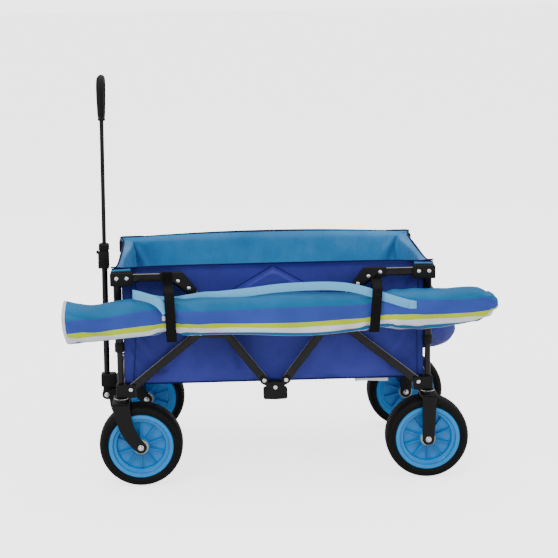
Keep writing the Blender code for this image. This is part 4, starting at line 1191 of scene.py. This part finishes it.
def build_mat():
    """Quilted mat in four padded boards, parted by sewn channels."""
    low, high = node_box("base_mat")
    half_x = min((high.x - low.x) / 2 - 0.004, WALL_X - 0.008)
    half_y = min((high.y - low.y) / 2 - 0.004, WALL_Y - 0.007)
    channels = (-0.19, 0.0, 0.19)
    verts, pins = [], []
    for v in np.linspace(-1, 1, 89):
        for x in np.linspace(-half_x, half_x, 151):
            edge = min((half_x - abs(x)) / 0.012, (1 - abs(v)) * half_y / 0.012, 1.0)
            seam = min(min(abs(x - s) for s in channels) / 0.011, 1.0)
            crown = math.sin(edge * math.pi / 2) * (0.35 + 0.65 * math.sin(seam * math.pi / 2))
            verts.append((x, v * half_y, low.z + 0.0035 + 0.0062 * crown))
            pins.append(1.0 if edge < 0.2 or seam < 0.15 else 0.0)
    mat = sheet(verts, grid_faces(89, 151), "floor", "under")
    drape(mat, 14, 0.0025, pins, pressure=0.6, bending=0.6)
    hang("base_mat_padded", [thicken(mat, 0.0030, 1)], "base_mat", slot="mat_fabric")
    seams = []
    for x in channels:
        line = [(x, y, low.z + 0.0062) for y in np.linspace(-half_y + 0.004, half_y - 0.004, 60)]
        seams.append(tube(line, 0.0008, "thread", 8))
    hang("base_mat_seams", seams, slot="mat_fabric")
    rim = [(half_x, -half_y), (half_x, half_y), (-half_x, half_y), (-half_x, -half_y)]
    path, steps = [], np.linspace(0, 1, 40)[:-1]
    for (x0, y0), (x1, y1) in zip(rim, rim[1:] + rim[:1]):
        path += [(x0 + (x1 - x0) * t, y0 + (y1 - y0) * t, low.z + 0.0030) for t in steps]
    hang("base_mat_piping", [tube(path, 0.0019, "binding", 10, closed=True)], slot="mat_fabric")


def build_pocket():
    """A gathered pocket behind the rear wall, full at the bottom, hung from the upper crossbar."""
    low, high = node_box("rear_pocket")
    back = low.x + 0.0015
    rings = [pocket_ring(v, v * (high.y - 0.004), back) for v in np.linspace(-1, 1, 61)]
    pocket = loft(rings, "outer", sharp=50.0)
    rest = mesh_points(pocket)
    pins = np.where((rest[:, 0] < back + 0.004) | (rest[:, 2] > high.z - 0.018), 1.0, 0.0)
    drape(pocket, 16, 0.006, pins, pressure=0.8, gravity=0.3)
    points = mesh_points(pocket)
    points[:, 0] = np.clip(points[:, 0], back, high.x + 0.004)
    set_points(pocket, points)
    fit("rear_pocket_gathered", [pocket], "rear_top", "tub_fabric", "rear_pocket")
    line = []
    for y in np.linspace(-0.19, 0.19, 120):
        line.append((back + 0.0065 + 0.0035 * math.sin(y * 230), y, high.z - 0.003))
    fit("rear_pocket_elastic", [tube(line, 0.0030, "binding", 10)], "rear_top", "tub_fabric")
    over = mm((405.2, 470), (405.2, 515), (404.6, 522.2), (397.5, 523.6), (389.5, 522.2), (388.8, 515))
    over += mm((388.8, 500))
    for side, sy in SIDES:
        path = [(x, sy * 0.13, z) for x, z in smooth_line(over, 6)]
        tab = ribbon(path, (0, 1, 0), 0.026, 0.0014, "binding")
        fit(f"rear_pocket_{side}_tab", [tab], "rear_top", "tub_fabric")


def pocket_ring(v, y, back):
    """One closed XZ section of the pocket, flat against the frame, its foot rising towards both sides."""
    top, foot = 0.488, 0.294
    full = 0.10 + 0.90 * (1 - abs(v) ** 5) ** 0.5
    gather = 0.0030 * math.sin(v * 46)
    rise = 0.080 * abs(v) ** 2.2
    front = mm((10, 488), (30, 457), (58, 410), (82, 366), (88.5, 344), (78, 322), (52, 304), (20, 294))
    belly = [(back + out * full + gather * (z - 0.30) * 3.5, z) for out, z in front]
    line = [(back, top), *belly, (back, foot)]
    rear = [(back, foot + (top - foot) * k / 8) for k in range(1, 8)]
    return [(x, y, z + rise * (top - z) / (top - foot)) for x, z in [*smooth_line(line, 4), *rear]]


# --- Parasol bag ----------------------------------------------------------------------------

loop_low, loop_high = node_box("rear_strap_loop")
LOOP_X = (loop_low.x + loop_high.x) / 2
bag_low, bag_high = node_box("parasol_bag")
BAG_TOP = mm(
    (-530, 505), (-495, 501.5), (-450, 498), (-385, 506), (-310, 510), (-270, 501), (-235, 507), (-100, 513),
    (60, 517), (250, 509), (310, 515), (420, 517.5), (500, 519.5), (524, 516), (544, 504), (560, 486),
)
BAG_BOTTOM = mm(
    (-530, 400), (-450, 406.5), (-385, 411), (-315, 417.5), (-275, 423), (-230, 417.5), (-100, 414.5),
    (60, 407.5), (200, 414.5), (262, 419), (330, 416), (430, 422.5), (510, 433), (545, 446), (560, 461),
)
# Where teal, blue, lime and white end down the outer side, along the bag
STRIPE_ENDS = (
    (-0.530, 0.40, 0.69, 0.82, 0.965), (-0.490, 0.33, 0.68, 0.82, 0.965), (-0.290, 0.22, 0.65, 0.79, 0.94),
    (-0.220, 0.285, 0.65, 0.77, 0.90), (0.000, 0.28, 0.62, 0.745, 0.875), (0.150, 0.25, 0.61, 0.745, 0.875),
    (0.240, 0.21, 0.58, 0.715, 0.85), (0.300, 0.18, 0.55, 0.69, 0.82), (0.400, 0.20, 0.58, 0.715, 0.85),
    (0.480, 0.25, 0.64, 0.765, 0.915), (0.530, 0.22, 0.66, 0.83, 0.95),
)
BAG_STATIONS, BAG_AROUND = 150, 64


def bag_section(x, top, bottom):
    """A rounded section of the bag at x, with its stripe value at each point."""
    middle, half = (top + bottom) / 2, (top - bottom) / 2
    taper = min(1.0, (half / 0.05) ** 0.7)
    ends = [np.interp(x, *np.array(STRIPE_ENDS).T[[0, k]]) for k in range(1, 5)]
    marks = [0.0] + [start for start, _ in STRIPES[1:5]] + [1.0]
    pinch = 1 - 0.06 * sum(hill(x, s * LOOP_X, 0.022) for s in (-1, 1))
    reach = (bag_high.y - bag_low.y) / 2 * 0.985 * taper * pinch
    ring, stripes = [], []
    for k in range(BAG_AROUND):
        angle = 2 * math.pi * k / BAG_AROUND
        c, s = math.cos(angle), math.sin(angle)
        z = middle + half * math.copysign(abs(c) ** 0.80, c)
        y = (bag_low.y + bag_high.y) / 2 - reach * math.copysign(abs(s) ** 0.72, s)
        share = (top - z) / (top - bottom)
        slant = 0.026 * (share - 0.34) ** 2 * math.exp((bag_low.x - x) / 0.04)
        ring.append((x + slant, y, z))
        value = float(np.interp(share, [0.0, *ends, 1.0], marks))
        stripes.append(value if k <= BAG_AROUND // 2 else 2 - value)
    return ring, stripes


def wrinkle(points):
    """Folds that fan out from the loops and run along the ends of the bag."""
    x, _, z = points.T
    lift = 0.0013 * np.sin(x * 19 + z * 60) * np.sin(z * 45 + 1)
    for side in (-1, 1):
        away = (x - side * LOOP_X) / 0.045
        fan = hill(away, 0, 1) * np.tanh(np.abs(away) * 3)
        lift += fan * 0.0022 * np.sin((z - 0.45) * 260 + away * 4 + side)
    lift += hill(x, -0.50, 0.04) * 0.002 * np.sin(z * 190 + x * 60)
    lift += hill(x, 0.540, 0.03) * 0.0045 * np.sin(z * 260 + x * 90)
    return lift + hill(x, 0.36, 0.10) * 0.0018 * np.sin(z * 150 + x * 70) * np.sin(x * 40)


def build_bag():
    """The striped bag: a long sewn tube, open with a white lining at the front, tapered behind."""
    lines = [smooth_line(line, 8).T for line in (BAG_TOP, BAG_BOTTOM)]
    verts, values = [], []
    for x in np.linspace(bag_low.x, BAG_TOP[-1][0], BAG_STATIONS):
        ring, stripes = bag_section(x, *(np.interp(x, *line) for line in lines))
        verts += ring
        values += stripes
    points = np.array(verts)
    centre = np.repeat(points.reshape(BAG_STATIONS, BAG_AROUND, 3).mean(1), BAG_AROUND, axis=0)
    points = points + unit_rows(points - centre) * wrinkle(points)[:, None]
    body = sheet(points, grid_faces(BAG_STATIONS, BAG_AROUND, closed=True), "stripes", "lining")
    for polygon in body.data.polygons:
        polygon.flip()
        polygon.material_index = int(polygon.index < BAG_AROUND)
    stripe = body.data.attributes.new("stripe", "FLOAT", "POINT")
    stripe.data.foreach_set("value", np.array(values, np.float32))
    station = np.repeat(np.arange(BAG_STATIONS), BAG_AROUND)
    tight = np.abs(np.abs(points[:, 0]) - LOOP_X) < 0.014
    pins = np.where((station < 1) | (station > BAG_STATIONS - 4) | tight, 1.0, 0.0)
    drape(body, 16, 0.004, pins, pressure=0.9, gravity=0.4, shrink=-0.012, bending=0.25)
    points = mesh_points(body)
    points[:, 1] = np.clip(points[:, 1], bag_low.y, bag_high.y)
    set_points(body, points)
    close_bag_ends(body)
    close_stripes(body.data)
    fit("bag", [body], "parasol", "stripe_fabric", "parasol_bag")


def close_bag_ends(body):
    """A recessed white lining at the front end, and a blunt gathered tip at the rear."""
    bm = bmesh.new()
    bm.from_mesh(body.data)
    layer = bm.verts.layers.float["stripe"]
    # Shares of the end section, each with its shift along X
    mouth = ((0.975, -0.0010), (0.93, 0.0), (0.92, 0.008), (0.60, 0.014), (0.20, 0.015))
    tip = ((0.86, 0.0025), (0.55, 0.0040), (0.20, 0.0045))
    for start, look, steps in ((0, 1, mouth), ((BAG_STATIONS - 1) * BAG_AROUND, 0, tip)):
        bm.verts.ensure_lookup_table()
        last = first = bm.verts[start:start + BAG_AROUND]
        centre = sum((vert.co for vert in first), Vector()) / BAG_AROUND
        for shrink, depth in steps:
            ring = []
            for vert in first:
                place = centre + (vert.co - centre) * shrink
                ring.append(bm.verts.new((vert.co.x + depth, place.y, place.z)))
                ring[-1][layer] = vert[layer]
            for k in range(BAG_AROUND):
                bm.faces.new((last[k - 1], last[k], ring[k], ring[k - 1])).material_index = look
            last = ring
        bm.faces.new(last).material_index = look
    bmesh.ops.recalc_face_normals(bm, faces=bm.faces)
    bm.to_mesh(body.data)
    bm.free()
    body.data.shade_smooth()
    body.data.set_sharp_from_angle(angle=math.radians(60))


def close_stripes(mesh):
    """Moves the stripe value from points to face corners, so that no face runs back from 2 to 0."""
    values = np.zeros(len(mesh.vertices), np.float32)
    mesh.attributes["stripe"].data.foreach_get("value", values)
    vertex = np.zeros(len(mesh.loops), np.int32)
    mesh.loops.foreach_get("vertex_index", vertex)
    corners = values[vertex]
    for polygon in mesh.polygons:
        part = corners[polygon.loop_start:polygon.loop_start + polygon.loop_total]
        if part.max() - part.min() > 1:
            part[part < 0.5] += 2
    mesh.attributes.remove(mesh.attributes["stripe"])
    mesh.attributes.new("stripe", "FLOAT", "CORNER").data.foreach_set("value", corners)


def build_sling():
    """Carrying sling over the top of the bag, sewn on behind the rear loop, knotted in front."""
    run = mm(
        (345, 3, 483), (325, 3.4, 487), (289, 7.5, 498), (252, 15, 509.5), (211, 22, 521.5),
        (165, 26, 529.5), (105, 28, 532), (13, 30, 529), (-62, 32, 520.5), (-137, 42, 512),
        (-180, 60, 507), (-215, 74, 499), (-260, 79, 493), (-305, 76, 499), (-335, 66, 511),
        (-353, 46, 520), (-350, 27, 521), (-328, 13, 519), (-306, 6.5, 513), (-289, 2, 503),
        (-279, 0.2, 491), (-273, -0.4, 479),
    )
    front_y = bag_low.y
    path = smooth_line(run, 7) + (0, front_y, 0)
    across = []
    for x, y, _ in path:
        on_front = ease((-x - 0.28) / 0.04) * ease((front_y + 0.03 - y) / 0.02)
        across.append((0.30 * on_front, 0.35 * ease((0.34 - x) / 0.05) * (1 - on_front), 1.0))
    strap = ribbon(path, across, 0.0215, 0.0018, "sling")
    fit("parasol_sling_strap", [strap], "parasol", "sling_webbing", "parasol_sling")
    stitch = mm((334.5, 476), (349.5, 476), (349.5, 490), (334.5, 490))
    stitch = tube([(x, front_y + 0.0003, z) for x, z in stitch], 0.0005, "lining", 6, closed=True)
    boxes = mm((332, 0.4, 473.5), (352, 3.4, 492.5), (-282.5, -1, 458.5), (-274, 6, 472))
    end_low, end_high, knot_low, knot_high = ((x, front_y + y, z) for x, y, z in boxes)
    end = [rounded_box(end_low, end_high, 0.0009, "sling", 2), stitch]
    fit("parasol_sling_end", end, "parasol", "sling_webbing")
    knot = rounded_box(knot_low, knot_high, 0.003, "lining")
    fit("parasol_sling_knot", [knot], "parasol", "sling_webbing")


def loop_path(end):
    """A loop's line at the rear end's X: off the rail, down in front of the bag, under it and back up."""
    rail_foot = RAIL_PIN.z - BAR_HALF - 0.0032
    rail_y = (UPPER_BAR_Y[0] + UPPER_BAR_Y[1]) / 2
    front, back = -loop_low.y - 0.001, -loop_high.y + 0.001
    if end == "front":
        # Its start past its place, its shift to the cart's middle on its way out and down, and its foot
        start, drift, lean_down, foot = 0.0065, 0.0050, 0.0040, loop_low.z + 0.0085
        over, rail_top = ELBOW_OUTER_Y + 0.0012, RAIL_PIN.z + BAR_HALF
        path = [(over - 0.004, rail_top + 0.0030), (over, rail_top + 0.0010)]
        path += [(over, rail_foot + 0.0012), (over + 0.012, rail_foot - 0.004)]
    else:
        start, drift, lean_down, foot = 0.0, 0.0066, 0.0100, loop_low.z + 0.0200
        path = [(rail_y - 0.002, rail_foot), (rail_y + 0.010, rail_foot - 0.0015)]
    path += [
        (front - 0.022, 0.529), (front - 0.006, 0.515), (front, 0.499), (front, 0.450),
        (front, foot + 0.008), (front - 0.0024, foot + 0.0024), (front - 0.008, foot),
        ((front + back) / 2, foot - 0.0003), (back + 0.008, foot), (back + 0.0024, foot + 0.0024),
        (back, foot + 0.008), (back, 0.470), (back - 0.001, rail_foot - 0.010),
        (rail_y - 0.001, rail_foot - 0.0022),
    ]
    line = []
    for y, z in smooth_line(path, 6):
        out, down = max((y - rail_y) / (front - rail_y), 0.0), (rail_foot - z) / (rail_foot - foot)
        line.append((LOOP_X + start - drift * out - lean_down * down, -y, z))
    return line


def build_loops():
    """Black webbing loops from the rails, round the bag."""
    for end, sx in ENDS:
        line = [(sx * x, y, z) for x, y, z in loop_path(end)]
        strap = ribbon(line, (1, 0, 0), loop_high.x - loop_low.x, 0.0019, "loop")
        fit(end + "_strap_webbing", [strap], end + "_strap", "webbing", end + "_strap_loop")


# --- Stage ----------------------------------------------------------------------------------

FLOOR_GLOW, SKY_GLOW, SKY_LIGHT = 2.4, 3.4, 0.85


def glow(tree, socket, lit, seen):
    """Feeds a strength that differs between what lights the cart and what the camera sees."""
    rays = tree.nodes.new("ShaderNodeLightPath")
    strength = tree.nodes.new("ShaderNodeMapRange")
    strength.inputs["To Min"].default_value = lit
    strength.inputs["To Max"].default_value = seen
    tree.links.new(rays.outputs["Is Camera Ray"], strength.inputs["Value"])
    tree.links.new(strength.outputs[0], socket)


def build_floor():
    """A pale floor that glows for the camera only."""
    made = Finish("studio_white", colour=(0.90, 0.90, 0.90), roughness=0.9)
    made.shader.inputs["Emission Color"].default_value = (1, 1, 1, 1)
    glow(made.tree, made.shader.inputs["Emission Strength"], 0.0, FLOOR_GLOW)
    floor = sheet([(-40, -40, 0), (40, -40, 0), (40, 40, 0), (-40, 40, 0)], [(0, 1, 2, 3)])
    floor.name = "studio_floor"
    floor.data.materials.append(made.material)


def build_light():
    world = bpy.data.worlds.new("studio")
    world.use_nodes = True
    background = world.node_tree.nodes["Background"]
    background.inputs[0].default_value = (1, 1, 1, 1)
    glow(world.node_tree, background.inputs[1], SKY_LIGHT, SKY_GLOW)
    bpy.context.scene.world = world
    for name, place, size, power in (
        ("key", (-2.2, -3.4, 3.6), 2.2, 100.0),
        ("fill", (2.8, -3.0, 2.4), 2.6, 40.0),
        ("top", (0.2, 0.6, 4.2), 3.2, 70.0),
    ):
        data = bpy.data.lights.new(name, "AREA")
        data.size = size
        data.energy = power
        light = bpy.data.objects.new(name, data)
        light.location = place
        aim = MIDDLE + Vector((0, 0, 0.4)) - Vector(place)
        light.rotation_euler = aim.to_track_quat("-Z", "Y").to_euler()
        bpy.context.collection.objects.link(light)


def build_camera():
    distance, yaw, rise, roll = 4.40, math.radians(-2.59), math.radians(11.11), math.radians(-0.98)
    target = MIDDLE + Vector((0.026, 0.0, 0.486))
    back = Vector((math.sin(yaw) * math.cos(rise), -math.cos(yaw) * math.cos(rise), math.sin(rise)))
    right = (-back).cross(Vector((0, 0, 1))).normalized()
    up = right.cross(-back)
    tilted_right = right * math.cos(roll) + up * math.sin(roll)
    tilted_up = up * math.cos(roll) - right * math.sin(roll)
    data = bpy.data.cameras.new("camera")
    data.lens = 105.0
    data.sensor_width = 36.0
    camera = bpy.data.objects.new("camera", data)
    rotation = Matrix((tilted_right, tilted_up, back)).transposed().to_4x4()
    camera.matrix_world = Matrix.Translation(target + back * distance) @ rotation
    bpy.context.collection.objects.link(camera)
    bpy.context.scene.camera = camera


build_frame()
build_wheels()
build_handle()
build_tub()
build_mat()
build_pocket()
build_bag()
build_sling()
build_loops()
build_floor()
build_light()
build_camera()
